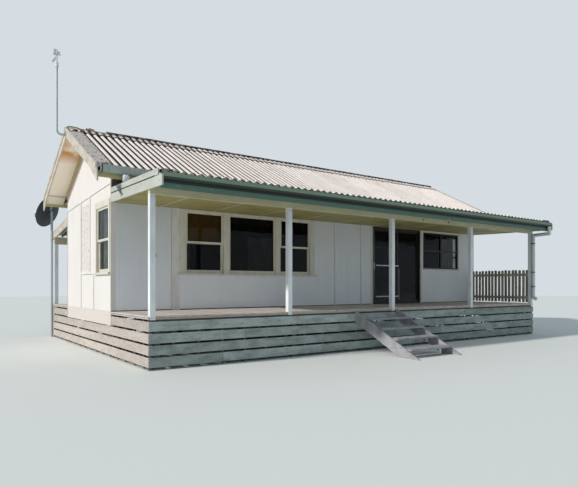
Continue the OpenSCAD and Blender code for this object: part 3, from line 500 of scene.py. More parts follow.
def moulded_plastic(colour):
    """Injection-moulded plastic gone chalky in the sun: even, pale and slightly grained."""
    made, tree, place, shader = start_material(0.5)
    chalk = patches(tree, place, (0.04, 0.04, 0.04), 0.4, 0.7)
    grain = patches(tree, place, (0.002, 0.002, 0.002), 0.3, 0.7)
    surface(tree, shader, paint(colour, 0.88), (chalk, paint(colour)), relief=grain, depth=0.0003)
    return made


def finish(name):
    """The finish of that name, made on its first use."""
    if name not in bpy.data.materials:
        FINISHES[name]().name = name
    return bpy.data.materials[name]


FINISHES = {
    # Sheets of the walls, ceilings and soffits
    "wall_fibre_cement": lambda: flat_fibre_cement("wall", with_painted_shade=True),
    "gable_fibre_cement": lambda: flat_fibre_cement("gable", "wall_foot", with_painted_shade=True),
    # Painted light: the soffit's cream is drawn near white for the bounced light that brightens it
    "soffit_fibre_cement": lambda: flat_fibre_cement("#FBEEDA", stain="#D0924E", damp_at=0.35),
    "ceiling_fibre_cement": lambda: flat_fibre_cement("ceiling", stain="#8F8552"),
    # Sheets of the roofs, and what has grown or been laid on them
    "roof_fibre_cement": lambda: corrugated_fibre_cement("roof", ROOF_TOP),
    "porch_fibre_cement": lambda: corrugated_fibre_cement("#A8A39E", DECK_Z + 2.2),
    "ridge_fibre_cement": lambda: corrugated_fibre_cement("#DACFC9", ROOF_TOP + 0.25),
    "verge_fibre_cement": lambda: lichen_cement("verge", "#6B6561", 0.42, 0.03),
    "ridge_roll_cement": lambda: lichen_cement("#8B807A", "lichen", 0.85),
    "rusty_cement": lambda: lichen_cement("#7A5034", "#3F2E22", 0.5),
    "cream_cement": lambda: lichen_cement("#D6CFBC", "#77724E", 0.4),
    "bedding_mortar": lambda: lichen_cement("#C4AE93", "#5E4634", 0.45),
    # Painted shade: the dark lines in the walls' open joints
    "joint_mastic": lambda: lichen_cement("#6E655C", "#3F382F", 0.5),
    # Painted shade: black for the shaded gap between the end boards and the shaded insides of the main
    # gutters
    "black_muck": lambda: lichen_cement("#15130E", "#0C0B08", 0.5),
    # Painted joinery and boards
    "strip_timber": lambda: painted_timber("#E7E3DF", "Z", 0.1, 0.5),
    "barge_timber": lambda: painted_timber("cream", "Y", 0.45, 0.45, "#9A8C7C", grime=0.25),
    # Partly painted shade: the tan of the strips under the soffits, which cover the band that the overhang
    # shades
    "moulding_timber": lambda: painted_timber("#BFA678", "Y", 0.4, 0.5, "#7A5A3A"),
    "eave_fascia_timber": lambda: painted_timber("#C4BA85", "X", 0.4, 0.5, "#7A5A3A"),
    "eave_timber": lambda: painted_timber("#DCCBB0", "X", 0.4, 0.5, "#7A5A3A", grime=0.3,
                                          outer=("#8FA199", EAVE_HIGH.y - 0.002)),
    # Painted shade: the black band along the fascia's top stands for the gutter's shadow
    "green_timber": lambda: painted_timber("fascia", "X", 0.5, 0.45, "#A9B094", shade_band=(2.935, 0.022)),
    "end_board_timber": lambda: painted_timber("end_board", "Y", 0.3, 0.45),
    "post_timber": lambda: painted_timber("white", "Z", 0.2, 0.4),
    "beam_timber": lambda: painted_timber("beam", "X", 0.2, 0.5, "#8C8558"),
    "rafter_timber": lambda: painted_timber("beam", "Y", 0.3, 0.6),
    "window_timber": lambda: painted_timber("trim", "Z", 0.25, 0.4),
    "deck_timber": lambda: painted_timber("deck", "Y", 0.5, 0.7, "#8F8780", 0.3),
    # Painted shade: the deck's own paint, drawn darker for its shaded front edge
    "deck_edge_timber": lambda: painted_timber("#C2B5AA", "X", 0.5, 0.6, "#8F8780", 0.25),
    "front_skirt_timber": lambda: painted_timber("front_skirt", "X", 0.45, 0.7, "#7C8178", 0.3, 0.34),
    "side_skirt_timber": lambda: painted_timber("side_skirt", "Y", 0.45, 0.7, "#A79E95", 0.2, 0.15),
    # Bare timber
    "silvered_hardwood": lambda: bare_hardwood("bare_wood", "Y"),
    "sawn_palings": lambda: bare_hardwood("paling", "Z", 0.45),
    "sawn_rails": lambda: bare_hardwood("paling", "Y", 0.2),
    # Partly painted shade: dark hardwood under the house, drawn dark so that it reads shaded
    "stump_hardwood": lambda: bare_hardwood("old_wood", "Z", 0.1),
    "bearer_hardwood": lambda: bare_hardwood("old_wood", "X", 0.1),
    # Painted shade: the rooms' floor is drawn dark brown so that the rooms read unlit
    "floor_hardwood": lambda: bare_hardwood("#5A4230", "X", 0.1),
    # Metal, glass, plastic and cloth
    "old_gutter_steel": lambda: painted_steel("grey_green", 0.5, 0.9),
    "green_gutter_steel": lambda: painted_steel("green", 0.4, 0.3, mould=True),
    "pipe_steel": lambda: painted_steel("#D4D8D8", 0.45, 0.4),
    "dish_steel": lambda: painted_steel("dish", 0.55, 0.3, pole=(DISH_POLE.x, DISH_POLE.y, 0.036)),
    "blue_steel": lambda: painted_steel("#6F8296", 0.5, 0.6),
    "rusted_nail": lambda: painted_steel("#5A4A40", 0.7, 0.8),
    "galvanised_tube": lambda: galvanised_steel("galvanised"),
    "dark_aluminium": lambda: anodised_aluminium("anodised"),
    "channel_aluminium": lambda: anodised_aluminium("#6F8982"),
    "glass": float_glass,
    "white_plastic": lambda: moulded_plastic("#DFE2E6"),
    "blind_cloth": lambda: woven_cloth("blind"),
    "curtain_cloth": lambda: woven_cloth("curtain"),
    "brown_curtain_cloth": lambda: woven_cloth("#6B4426"),
    # Painted shade: the door's left curtain takes the dark blue-grey look of a dimly lit curtain
    "blue_curtain_cloth": lambda: woven_cloth("#3A4654"),
}


def dress(name, *nodes, eased=0.0):
    """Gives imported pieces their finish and, if asked, eases their sharp edges as wear and paint do."""
    for node in nodes:
        target = NODES[node]
        target.data.materials.clear()
        target.data.materials.append(finish(name))
        if eased:
            bevel = target.modifiers.new("eased_edges", "BEVEL")
            bevel.width = eased
            bevel.segments = 2
            bevel.limit_method = "ANGLE"
            bevel.angle_limit = math.radians(35)


def solids(node):
    """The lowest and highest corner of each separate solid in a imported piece."""
    mesh = NODES[node].data
    places = [tuple(round(c, 5) for c in vertex.co) for vertex in mesh.vertices]
    leader = {place: place for place in places}

    def find(place):
        while leader[place] != place:
            leader[place] = leader[leader[place]]
            place = leader[place]
        return place

    for polygon in mesh.polygons:
        first = find(places[polygon.vertices[0]])
        for i in polygon.vertices[1:]:
            leader[find(places[i])] = first
    groups = {}
    for place in leader:
        groups.setdefault(find(place), []).append(place)
    boxes = [tuple(Vector([pick(p[k] for p in group) for k in range(3)]) for pick in (min, max))
             for group in groups.values()]
    return sorted(boxes, key=lambda box: tuple(box[0]))


# Shapes


def spread(start, end, count):
    """Evenly spaced numbers from start to end, both included."""
    return [start + (end - start) * i / (count - 1) for i in range(count)]


def ring(centre, across, up, radius, sides):
    """Points on a circle round a centre, in the plane of two directions."""
    turns = [math.tau * k / sides for k in range(sides)]
    return [centre + radius * (math.cos(turn) * across + math.sin(turn) * up) for turn in turns]


def bands(rings, sides):
    """The faces between rings of points that follow one another."""
    return [(row + k, row + (k + 1) % sides, row + sides + (k + 1) % sides, row + sides + k)
            for row in range(0, (rings - 1) * sides, sides) for k in range(sides)]


class Shape:
    """Collects one piece's points and faces, each board's tone, and how deep each point lies in a valley."""

    def __init__(self):
        self.points, self.faces, self.tones, self.valleys = [], [], [], []

    def add(self, points, faces, tone=0.0, valleys=None):
        start = len(self.points)
        self.points += [tuple(point) for point in points]
        self.faces += [tuple(start + i for i in face) for face in faces]
        self.tones += [tone] * len(points)
        self.valleys += valleys or [0.0] * len(points)

    def board(self, low, high, edge=0.002, tone=0.0):
        """A squared board between two corners, with its edges eased."""
        def corner(axis, *signs):
            """The signs of a corner, given from one axis on."""
            return tuple(signs[(k - axis) % 3] for k in range(3))

        middle = (Vector(low) + Vector(high)) / 2
        half = (Vector(high) - Vector(low)) / 2
        edge = min(edge, *(h * 0.45 for h in half))
        corners = list(product((-1, 1), repeat=3))
        points, index = [], {}
        for signs in corners:
            for axis in range(3):
                index[signs, axis] = len(points)
                points.append(middle + Vector([signs[k] * (half[k] - (0 if k == axis else edge))
                                               for k in range(3)]))
        faces = []
        for axis in range(3):
            u, v = (axis + 1) % 3, (axis + 2) % 3
            for side in (-1, 1):
                turns = ((-1, -1), (1, -1), (1, 1), (-1, 1))
                faces.append([index[corner(axis, side, *signs), axis] for signs in turns])
            for signs in product((-1, 1), repeat=2):
                a, b = corner(axis, -1, *signs), corner(axis, 1, *signs)
                faces.append((index[a, u], index[b, u], index[b, v], index[a, v]))
        faces += [[index[signs, axis] for axis in range(3)] for signs in corners]
        self.add(points, faces, tone)

    def prism(self, outline, start, end, tone=0.0):
        """A closed outline in Y and Z, carried along X."""
        count = len(outline)
        points = [(x, y, z) for x in (start, end) for y, z in outline]
        faces = [(i, (i + 1) % count, count + (i + 1) % count, count + i) for i in range(count)]
        faces += [tuple(range(count)), tuple(range(count, 2 * count))]
        self.add(points, faces, tone)

    def tube(self, path, radius, sides=16, tone=0.0):
        """A round tube along a path, with closed ends. The radius is one number or one for each point."""
        path = [Vector(point) for point in path]
        radii = radius if isinstance(radius, (list, tuple)) else [radius] * len(path)
        heading = (path[1] - path[0]).normalized()
        across = heading.orthogonal().normalized()
        points = []
        for i, point in enumerate(path):
            ahead = (path[min(i + 1, len(path) - 1)] - path[max(i - 1, 0)]).normalized()
            across = (heading.rotation_difference(ahead) @ across).normalized()
            heading = ahead
            points += ring(point, across, heading.cross(across), radii[i], sides)
        last = (len(path) - 1) * sides
        ends = [tuple(range(sides)), tuple(range(last, last + sides))]
        self.add(points, bands(len(path), sides) + ends, tone)

    def dome(self, centre, normal, radius, height, sides=10):
        """A shallow round head, such as a nail's or a roofing screw's, standing on a face."""
        centre, normal = Vector(centre), Vector(normal).normalized()
        across = normal.orthogonal().normalized()
        up = normal.cross(across)
        points = []
        for share, lift in ((1.0, -0.3), (1.0, 0.3), (0.6, 0.85)):
            points += ring(centre + normal * height * lift, across, up, radius * share, sides)
        points.append(centre + normal * height)
        faces = [tuple(range(sides))] + bands(3, sides)
        faces += [(2 * sides + k, 2 * sides + (k + 1) % sides, 3 * sides) for k in range(sides)]
        self.add(points, faces)

    def cloth(self, plan, low, high, rows):
        """A hanging cloth, one layer thick, over a plan of points in X and Y. It gives its flat width."""
        points = [(x, y, z) for z in spread(high, low, rows + 1) for x, y in plan]
        wide = len(plan)
        faces = [(row * wide + i, row * wide + i + 1, (row + 1) * wide + i + 1, (row + 1) * wide + i)
                 for row in range(rows) for i in range(wide - 1)]
        self.add(points, faces)
        return sum(math.dist(a, b) for a, b in zip(plan, plan[1:]))

    def make(self, name, material, slot=None, body="house", smooth=None, replaces=()):
        """Makes the piece, with its finish and body; its slot is not used. Edges under the smooth angle are
        rounded.
        """
        mesh = bpy.data.meshes.new(name)
        mesh.from_pydata(self.points, [], self.faces)
        work = bmesh.new()
        work.from_mesh(mesh)
        bmesh.ops.recalc_face_normals(work, faces=work.faces)
        work.to_mesh(mesh)
        work.free()
        for title, values in (("board_tone", self.tones), ("valley", self.valleys)):
            mesh.attributes.new(title, "FLOAT", "POINT").data.foreach_set("value", values)
        if smooth is not None:
            mesh.shade_smooth()
            mesh.set_sharp_from_angle(angle=math.radians(smooth))
        mesh.materials.append(finish(material))
        piece = bpy.data.objects.new(name, mesh)
        bpy.context.scene.collection.objects.link(piece)
        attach(piece, body)
        if replaces:
            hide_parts(*replaces)
        return piece


class Slope:
    """One roof slope, falling from a level line, with whole waves across it from valley to valley."""

    def __init__(self, left, right, run, fall, top_y, top_z, side):
        sizes = roof_sizes()
        self.left, self.right, self.run, self.side = left, right, run, side
        self.waves = round((right - left) / sizes.wave_pitch)
        self.pitch = (right - left) / self.waves
        self.rise = sizes.wave_height
        self.sheet = sizes.sheet
        self.lap = sizes.sheet + 0.0005
        self.fall = fall
        self.down = Vector((0, side * math.cos(fall), -math.sin(fall)))
        self.up = Vector((0, side * math.sin(fall), math.cos(fall)))
        self.top = Vector((0, top_y, top_z))

    def point(self, x, reach, height):
        """A point at x, so far down from the top and so high above the line of the sheets' underside."""
        point = self.top + self.down * reach + self.up * height
        return Vector((x, point.y, point.z))

    def lay(self, shape, start, end, far, lifts, lap, tone, rows):
        """Adds one sheet between two waves, with broad crests and narrow valleys. It is raised by its two
        lifts at its top and at its foot, and by lap until it has passed the edge of its neighbour."""
        count = round((end - start) * WAVE_STEPS)
        points, valleys, faces = [], [], []
        wide = count + 1
        for thick, row, i in product((0.0, self.sheet), range(rows + 1), range(wide)):
            share = row / rows
            wave = start + (end - start) * i / count
            crest = 0.5 - 0.5 * math.cos(math.tau * wave)
            height = (self.rise * crest ** 0.7 + thick + lifts[0] + (lifts[1] - lifts[0]) * share
                      + lap * min(1, max(0, 1.5 + start - wave)))
            points.append(self.point(self.left + wave * self.pitch, far * share, height))
            valleys.append(1 - crest)
        layer = (rows + 1) * wide
        for row, i, under in product(range(rows), range(count), (0, layer)):
            a = under + row * wide + i
            faces.append((a, a + 1, a + 1 + wide, a + wide))
        edges = [(a, a + 1) for i in range(count) for a in (i, rows * wide + i)]
        edges += [(a, a + wide) for row in range(rows) for a in (row * wide, row * wide + count)]
        faces += [(a, b, layer + b, layer + a) for a, b in edges]
        shape.add(points, faces, tone, valleys)

    def cover(self, shape, draw, far, ragged, lift=0.0, kick=0.0, rows=4):
        """Covers the slope's upper part with sheets that lap half a wave over each other and end a little
        unevenly. They lie so far above it as lift says, and as much more at their feet as kick says."""
        step = roof_sizes().cover
        for start in range(0, self.waves, step):
            self.lay(shape, start - 0.5 if start else 0, min(start + step, self.waves),
                     far - draw.uniform(0, ragged), (lift, lift + kick), self.lap if start else 0.0,
                     draw.random(), rows)

    def screw(self, shape, wave, reach):
        """A domed roofing screw on its washer, on the crest of a wave, over the next sheet where it laps."""
        cover = roof_sizes().cover
        lap = self.lap * min(1, max(0, 1.5 - (wave + 1) % cover)) if wave + 1 >= cover else 0.0
        point = self.point(self.left + (wave + 0.5) * self.pitch, reach, self.rise + self.sheet + lap)
        shape.dome(point, self.up, *ROOF_WASHER)
        shape.dome(point + self.up * 0.003, self.up, *ROOF_SCREW)

    def slab(self, shape, left, right, near, far, low, high):
        """A flat strip along the slope, between two heights above the sheets' underside."""
        points = [self.point(x, reach, height) for height in (low, high) for reach in (near, far)
                  for x in (left, right)]
        shape.add(points, [(0, 1, 3, 2), (4, 5, 7, 6), (0, 1, 5, 4), (2, 3, 7, 6), (0, 2, 6, 4),
                           (1, 3, 7, 5)])

    def band(self, shape, left, right, low, high, end):
        """A strip down the slope, from 1 mm beside the peak, whose ends are cut upright."""
        outline = [(self.side * y, self.top.z - y * math.tan(self.fall) + height / math.cos(self.fall))
                   for y, height in ((0.001, low), (end, low), (end, high), (0.001, high))]
        shape.prism(outline, left, right)


def slope_of(node, fall, side, start=0.0):
    """The slope on which a packed corrugated sheet lies. It falls from a line at start."""
    low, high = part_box(node)
    thick = roof_sizes().wave_height + roof_sizes().sheet
    far = -low.y if side < 0 else high.y
    run = (far - abs(start) - thick * math.sin(fall)) / math.cos(fall)
    return Slope(low.x, high.x, run, fall, start, low.z + run * math.sin(fall), side)


def hang_curtain(name, start, end, low, high, material, depth=0.016, fold=0.075):
    """Hangs a curtain with rounded folds from a rod, between two points in X and Y."""
    start, end = Vector(start), Vector(end)
    run = end - start
    across = Vector((-run.y, run.x)).normalized()
    count = max(2, round(run.length / fold))
    plan = []
    for share in spread(0, 1, count * 10 + 1):
        point = start + run * share + across * depth * math.sin(math.tau * count * share)
        plan.append((point.x, point.y))
    cloth = Shape()
    wide = cloth.cloth(plan, low, high, 6)
    sheet = cloth.make(name, material, smooth=60)
    rod = Shape()
    spare = run.normalized() * 0.03
    rod.tube([(*(start - spare), high + 0.004), (*(end + spare), high + 0.004)], 0.006, 12)
    rail = rod.make(name + "_rod", "galvanised_tube", smooth=40)


def cut_at(draw, start, end, marks, fewest, most):
    """Cuts a run into boards that butt on some of its marks, and gives each board's two ends."""
    cuts, place = [start], draw.randint(2, most)
    while place < len(marks) - 2:
        cuts.append(marks[place])
        place += draw.randint(fewest, most)
    return list(zip(cuts, cuts[1:] + [end]))


# Operators


class Step:
    """What all the operators that build the house have in common"""
    bl_options = {"REGISTER", "UNDO"}


class BEACHHOUSE_OT_stage(Step, Operator):
    """Add the pale floor, the soft light and the camera at the photograph's viewing angle"""
    bl_idname = "beach_house.stage"
    bl_label = "Stage and Camera"

    def execute(self, context):
        scene = context.scene
        self.floor(scene)
        self.light(scene)
        self.camera(scene)
        scene.view_settings.view_transform = "Standard"
        return {"FINISHED"}

    def floor(self, scene):
        reach = 60
        mesh = bpy.data.meshes.new("studio_floor")
        mesh.from_pydata([(-reach, -reach, 0), (reach, -reach, 0), (reach, reach, 0), (-reach, reach, 0)],
                         [], [(0, 1, 2, 3)])
        made, tree, place, shader = start_material(0.9)
        made.name = "studio_floor"
        surface(tree, shader, paint("#E0E2DE"))
        mesh.materials.append(made)
        floor = bpy.data.objects.new("studio_floor", mesh)
        scene.collection.objects.link(floor)

    def light(self, scene):
        # A low, wide sun from the left lights the gable and rakes the roof; the sky fills the shaded front
        lamp = bpy.data.lights.new("key_light", "SUN")
        lamp.energy = 2.9
        lamp.angle = math.radians(3)
        lamp.color = (1.0, 0.96, 0.91)
        key = bpy.data.objects.new("key_light", lamp)
        key.rotation_euler = Vector((-0.86, 0.06, 0.5)).to_track_quat("Z", "Y").to_euler()
        scene.collection.objects.link(key)
        world = bpy.data.worlds.new("studio_sky")
        world.use_nodes = True
        tree = world.node_tree
        tree.nodes.clear()
        ray = add_node(tree, "ShaderNodeLightPath").outputs
        shown = add_node(tree, "ShaderNodeMath", {0: ray["Is Camera Ray"], 1: ray["Is Transmission Ray"]},
                         operation="MAXIMUM").outputs[0]
        fill = add_node(tree, "ShaderNodeBackground", {"Color": (0.74, 0.88, 1.0, 1), "Strength": 0.5})
        back = add_node(tree, "ShaderNodeBackground", {"Color": paint("#D5DDE2"), "Strength": 1.0})
        sky = add_node(tree, "ShaderNodeMixShader", {0: shown, 1: fill.outputs[0], 2: back.outputs[0]})
        add_node(tree, "ShaderNodeOutputWorld", {"Surface": sky.outputs[0]})
        scene.world = world

    def camera(self, scene):
        lens = bpy.data.cameras.new("camera")
        lens.sensor_width = 36
        lens.lens = CAMERA_LENS
        lens.shift_y = CAMERA_SHIFT
        lens.clip_end = 300
        camera = bpy.data.objects.new("camera", lens)
        camera.location = CAMERA_PLACE
        camera.rotation_euler = (math.radians(90), 0, CAMERA_YAW)
        scene.collection.objects.link(camera)
        scene.camera = camera


class BEACHHOUSE_OT_base(Step, Operator):
    """Finish the stumps, bearers and floor under the house"""
    bl_idname = "beach_house.base"
    bl_label = "Stumps and Floor"

    def execute(self, context):
        dress("stump_hardwood", "stumps", eased=0.004)
        dress("bearer_hardwood", "bearers", eased=0.003)
        dress("floor_hardwood", "floor")
        return {"FINISHED"}


class BEACHHOUSE_OT_walls(Step, Operator):
    """Finish the sheeted walls and the strips over them with their nails, and draw dark lines of painted
    shade in the open joints
    """
    bl_idname = "beach_house.walls"
    bl_label = "Walls"

    def execute(self, context):
        dress("gable_fibre_cement", "left_gable_wall", "right_gable_wall")
        dress("wall_fibre_cement", "front_wall_left", "front_wall_right", "front_wall_over_door",
              "back_wall")
        dress("strip_timber", "cover_strips", eased=0.002)
        nails, joints = Shape(), Shape()
        for low, high in solids("cover_strips"):
            self.nail(nails, low, high)
            if low.y > 0.001 - HALF_DEPTH or high.z - low.z < 0.5 or high.x - low.x > 0.02:
                self.joint(joints, low, high)
        door_low, door_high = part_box("sliding_door_frame")
        # A dark line of painted shade along the front wall's foot, on both sides of the door
        near, far = -HALF_DEPTH - 0.0022, 0.001 - HALF_DEPTH
        for left, right in ((-HALF_LENGTH, door_low.x), (door_high.x, HALF_LENGTH - WALL_THICK)):
            joints.board((left, near, DECK_Z), (right, far, DECK_Z + 0.016), 0.0)
        nails.make("strip_nails", "rusted_nail", "wall_sheet")
        joints.make("sheet_joints", "joint_mastic", "wall_sheet")
        return {"FINISHED"}

    def nail(self, nails, low, high):
        """Nails each 0.3 m along the middle of a strip, which may drop from one end to the other."""
        size = high - low
        thin, run = min(range(3), key=lambda k: size[k]), max(range(3), key=lambda k: size[k])
        middle = (low + high) / 2
        outward = Vector([math.copysign(1, middle[k]) if k == thin else 0 for k in range(3)])
        for share in spread(0.02, 0.98, max(2, round(size[run] / 0.3))):
            point = middle + outward * size[thin] / 2
            point[run] = low[run] + share * size[run]
            if run == 1 and size.z > 0.1:
                point.z = high.z - STRIP_WIDE / 2 - share * (size.z - STRIP_WIDE)
            nails.dome(point, outward, *STRIP_NAIL)

    def joint(self, joints, low, high):
        """The dark line of the open joint beside a strip or under it: painted shade of the gap and of the
        strip's edge.
        """
        size = high - low
        if size.x < 0.01:
            face = low.x if low.x > 0 else high.x
            edge = (face - 0.0012, face + 0.0012)
            if size.z > 0.5:
                beside = low.y - OPEN_JOINT
                outline = [(beside, low.z), (low.y, low.z), (low.y, high.z), (beside, high.z)]
            else:
                left, right = (high.z - STRIP_WIDE, low.z) if size.z > 0.1 else (low.z, low.z)
                outline = [(low.y, left - OPEN_JOINT), (high.y, right - OPEN_JOINT), (high.y, right),
                           (low.y, left)]
            joints.prism(outline, *edge)
        else:
            joints.board((low.x - 0.005, high.y - 0.001, low.z), (low.x, high.y + 0.001, high.z), 0.0)


class BEACHHOUSE_OT_roof_sheets(Step, Operator):
    """Lay the lapped corrugated sheets of both main slopes and of both low roofs, with their screws"""
    bl_idname = "beach_house.roof_sheets"
    bl_label = "Roof Sheets"

    def execute(self, context):
        sizes = roof_sizes()
        draw = random.Random(timber_sizes().seed)
        screws = Shape()
        for node, fall, side, start, material in (
                ("front_roof", sizes.pitch, -1, 0.0, "roof_fibre_cement"),
                ("back_roof", sizes.pitch, 1, 0.0, "roof_fibre_cement"),
                ("veranda_roof", sizes.veranda_fall, -1, -HALF_DEPTH, "roof_fibre_cement"),
                ("rear_porch_roof", sizes.porch_fall, 1, HALF_DEPTH, "porch_fibre_cement")):
            slope = slope_of(node, fall, side, start)
            sheets = Shape()
            slope.cover(sheets, draw, slope.run, 0.008)
            sheets.make(node + "_sheets", material, "roof_sheet", smooth=50, replaces=[node])
            for wave in range(3, slope.waves - 2, 3):
                for share in (0.3, 0.62, 0.94):
                    slope.screw(screws, wave, slope.run * share + draw.uniform(-0.012, 0.012))
        screws.make("roof_screws", "galvanised_tube", "galvanised")
        self.end_caps(slope_of("veranda_roof", sizes.veranda_fall, -1, -HALF_DEPTH))
        return {"FINISHED"}

    def end_caps(self, slope):
        """Flat strips over the outermost waves at both ends of the veranda roof."""
        caps = Shape()
        top = slope.rise + slope.sheet + 0.0005
        for left, right in ((slope.left, slope.left + 0.2), (slope.right - 0.3, slope.right)):
            slope.slab(caps, left, right, 0.02, slope.run - 0.004, top, top + 0.005)
            for reach in spread(0.2, slope.run - 0.1, 6):
                caps.dome(slope.point((left + right) / 2, reach, top + 0.005), slope.up, *CAP_NAIL)
        caps.make("veranda_roof_caps", "verge_fibre_cement", "verge_sheet")


class BEACHHOUSE_OT_ridge(Step, Operator):
    """Build the ridge capping: corrugated wings in short lengths, the lichened roll and its broken end"""
    bl_idname = "beach_house.ridge"
    bl_label = "Ridge Capping"

    def execute(self, context):
        sizes = roof_sizes()
        draw = random.Random(timber_sizes().seed + 1)
        low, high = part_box("ridge_capping")
        wings = Shape()
        for node, side in (("front_roof", -1), ("back_roof", 1)):
            slope = slope_of(node, sizes.pitch, side)
            slope.cover(wings, draw, sizes.wing, 0.01, 2 * sizes.sheet + 0.0015, 0.012, 3)
        wings.make("ridge_wings", "ridge_fibre_cement", "ridge_sheet", smooth=50,
                   replaces=["ridge_capping"])
        self.roll(low, high, draw)
        self.broken_end(low, high)
        return {"FINISHED"}

    def roll(self, low, high, draw):
        """The roll in lengths of about 1 m, each with a collar over the next."""
        radius = roof_sizes().roll
        z = high.z - radius - 0.028
        roll = Shape()
        edges = spread(low.x + 0.81, high.x, round((high.x - low.x) / 1.07) + 1)
        for left, right in zip(edges, edges[1:]):
            dip = draw.uniform(-0.003, 0.003)
            roll.tube([(left + 0.002, 0, z + dip), (right - 0.002, 0, z - dip)], radius, 24, draw.random())
            roll.tube([(left + 0.002, 0, z + dip), (left + 0.01, 0, z + dip), (left + 0.07, 0, z + dip)],
                      [radius + 0.001, radius + 0.004, radius + 0.004], 24, draw.random())
        roll.make("ridge_roll", "ridge_roll_cement", "ridge_sheet", smooth=40)

    def broken_end(self, low, high):
        """The left end has lost its roll: mortar, a broken flap and loose lumps are left on it."""
        radius = roof_sizes().roll
        z = high.z - radius - 0.01
        mortar = Shape()
        mortar.tube([(low.x + x, 0, z - 0.036) for x in (0.28, 0.86)], 0.033, 12)
        heap = ((0.005, 0, 0.03), (0.1, 0.004, 0.022), (0.21, -0.003, 0.028), (0.33, 0.002, 0.036))
        mortar.tube([(low.x + x, y, z - drop) for x, y, drop in heap],
                    [radius * share for share in (0.8, 1.05, 0.95, 0.5)], 14)
        for x, size, lift in ((0.41, 0.034, 0.0), (0.47, 0.042, 0.008), (0.53, 0.036, 0.002)):
            x, top = low.x + x, z + lift
            mortar.tube([(x - size, -0.01, top - size * 0.5), (x - size * 0.4, -0.012, top),
                         (x + size * 0.5, -0.006, top - 0.004), (x + size, -0.012, top - size * 0.6)],
                        [size * share for share in (0.35, 0.9, 0.75, 0.25)], 9)
        mortar.make("ridge_mortar", "bedding_mortar", "ridge_sheet")
        slope = slope_of("front_roof", roof_sizes().pitch, -1)
        top = slope.rise + 3 * slope.sheet + 0.004
        for name, left, right, reach, material in (("cap_chip", 0.03, 0.19, 0.13, "cream_cement"),
                                                   ("white_chip", 0.775, 0.805, 0.09, "verge_fibre_cement"),
                                                   ("broken_flap", 0.225, 0.3, 0.24, "rusty_cement")):
            chip = Shape()
            slope.slab(chip, low.x + left, low.x + right, 0.012, reach, top, top + 0.006)
            chip.make(name, material, "ridge_sheet")


class BEACHHOUSE_OT_roof_trim(Step, Operator):
    """Finish the verge cappings, barge boards, soffit and eaves, with their fillets, battens and nails"""
    bl_idname = "beach_house.roof_trim"
    bl_label = "Roof Trim"

    def execute(self, context):
        dress("verge_fibre_cement", "verge_cappings")
        dress("barge_timber", "barge_boards", "rear_porch_barges", eased=0.003)
        dress("soffit_fibre_cement", "verge_soffit")
        dress("eave_timber", "main_eaves", eased=0.002)
        low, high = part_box("barge_boards")
        crest = roof_sizes().wave_height + roof_sizes().sheet
        fillets, nails, battens, fascias, shade_strips, tails = (Shape() for _ in range(6))
        for node, side in (("front_roof", -1), ("back_roof", 1)):
            slope = slope_of(node, roof_sizes().pitch, side)
            self.nail(nails, slope, low.x, high.x, crest)
            slope.band(fillets, low.x - FILLET_THICK, low.x, crest - 0.07, crest, high.y)
            reach, under = slope.run * 0.86, crest - BARGE_DEEP
            slope.slab(battens, low.x + BARGE_THICK + 0.001, -HALF_LENGTH - 0.001, reach,
                       reach + STRIP_WIDE, under + 0.002, under + 0.0098)
            for left, right in ((-HALF_LENGTH - 0.022, -HALF_LENGTH), (HALF_LENGTH, HALF_LENGTH + 0.022)):
                # Tan strips under the soffits: a narrow moulding, widened over the band that the overhang
                # shades, so part of their tan is painted shade
                slope.band(shade_strips, left, right, crest - 0.325, crest - 0.1805, HALF_DEPTH + 0.012)
            self.tails(tails, side, low, high)
            self.fascias(fascias, side, low.x + BARGE_THICK, high.x - BARGE_THICK)
        fascias.make("eave_fascias", "eave_fascia_timber", "cream_timber")
        shade_strips.make("soffit_mouldings", "moulding_timber", "cream_timber")
        tails.make("barge_tails", "barge_timber", "cream_timber")
        fillets.make("barge_fillets", "barge_timber", "cream_timber")
        nails.make("verge_nails", "rusted_nail", "verge_sheet")
        battens.make("soffit_battens", "eave_timber", "soffit_sheet")
        return {"FINISHED"}

    def nail(self, nails, slope, left, right, crest):
        """Nails through both cappings in rows down the slope, and through the left fillet."""
        for x in (left + 0.04, left + 0.25, right - 0.085, right - 0.03):
            for reach in spread(0.36, slope.run - 0.06, 7):
                nails.dome(slope.point(x, reach, crest + 0.0043), slope.up, *VERGE_NAIL)
        for reach in spread(0.2, slope.run - 0.1, 6):
            nails.dome(slope.point(left - FILLET_THICK, reach, crest - 0.035), (-1, 0, 0), *BOARD_NAIL)

    def fascias(self, shape, side, left, right):
        """The eave's fascia carried on over both gable overhangs, and a lower board along all of it."""
        near, far = sorted((side * EAVE_HIGH.y, side * (EAVE_HIGH.y - 0.02)))
        for start, end in ((left, -HALF_LENGTH), (HALF_LENGTH, right)):
            shape.board((start, near, EAVE_LOW.z), (end, far, EAVE_HIGH.z), 0.002)
        shape.board((left, near, EAVE_LOW.z - 0.07), (right, far, EAVE_LOW.z), 0.002)

    def tails(self, shape, side, low, high):
        """The barge boards' pointed tails, which run on past the gutters and end lower than the boards."""
        end, foot = high.y, low.z
        outline = [(end - 0.42, foot + 0.2187), (end - 0.14, foot + 0.022), (end + 0.03, foot - 0.1),
                   (end + 0.045, foot - 0.09), (end + 0.032, foot + 0.06), (end + 0.001, foot + 0.2)]
        skin = 0.0005  # They lie this far inside the boards' faces
        for left, right in ((low.x, low.x + BARGE_THICK), (high.x - BARGE_THICK, high.x)):
            shape.prism([(side * y, z) for y, z in outline], left + skin, right - skin)


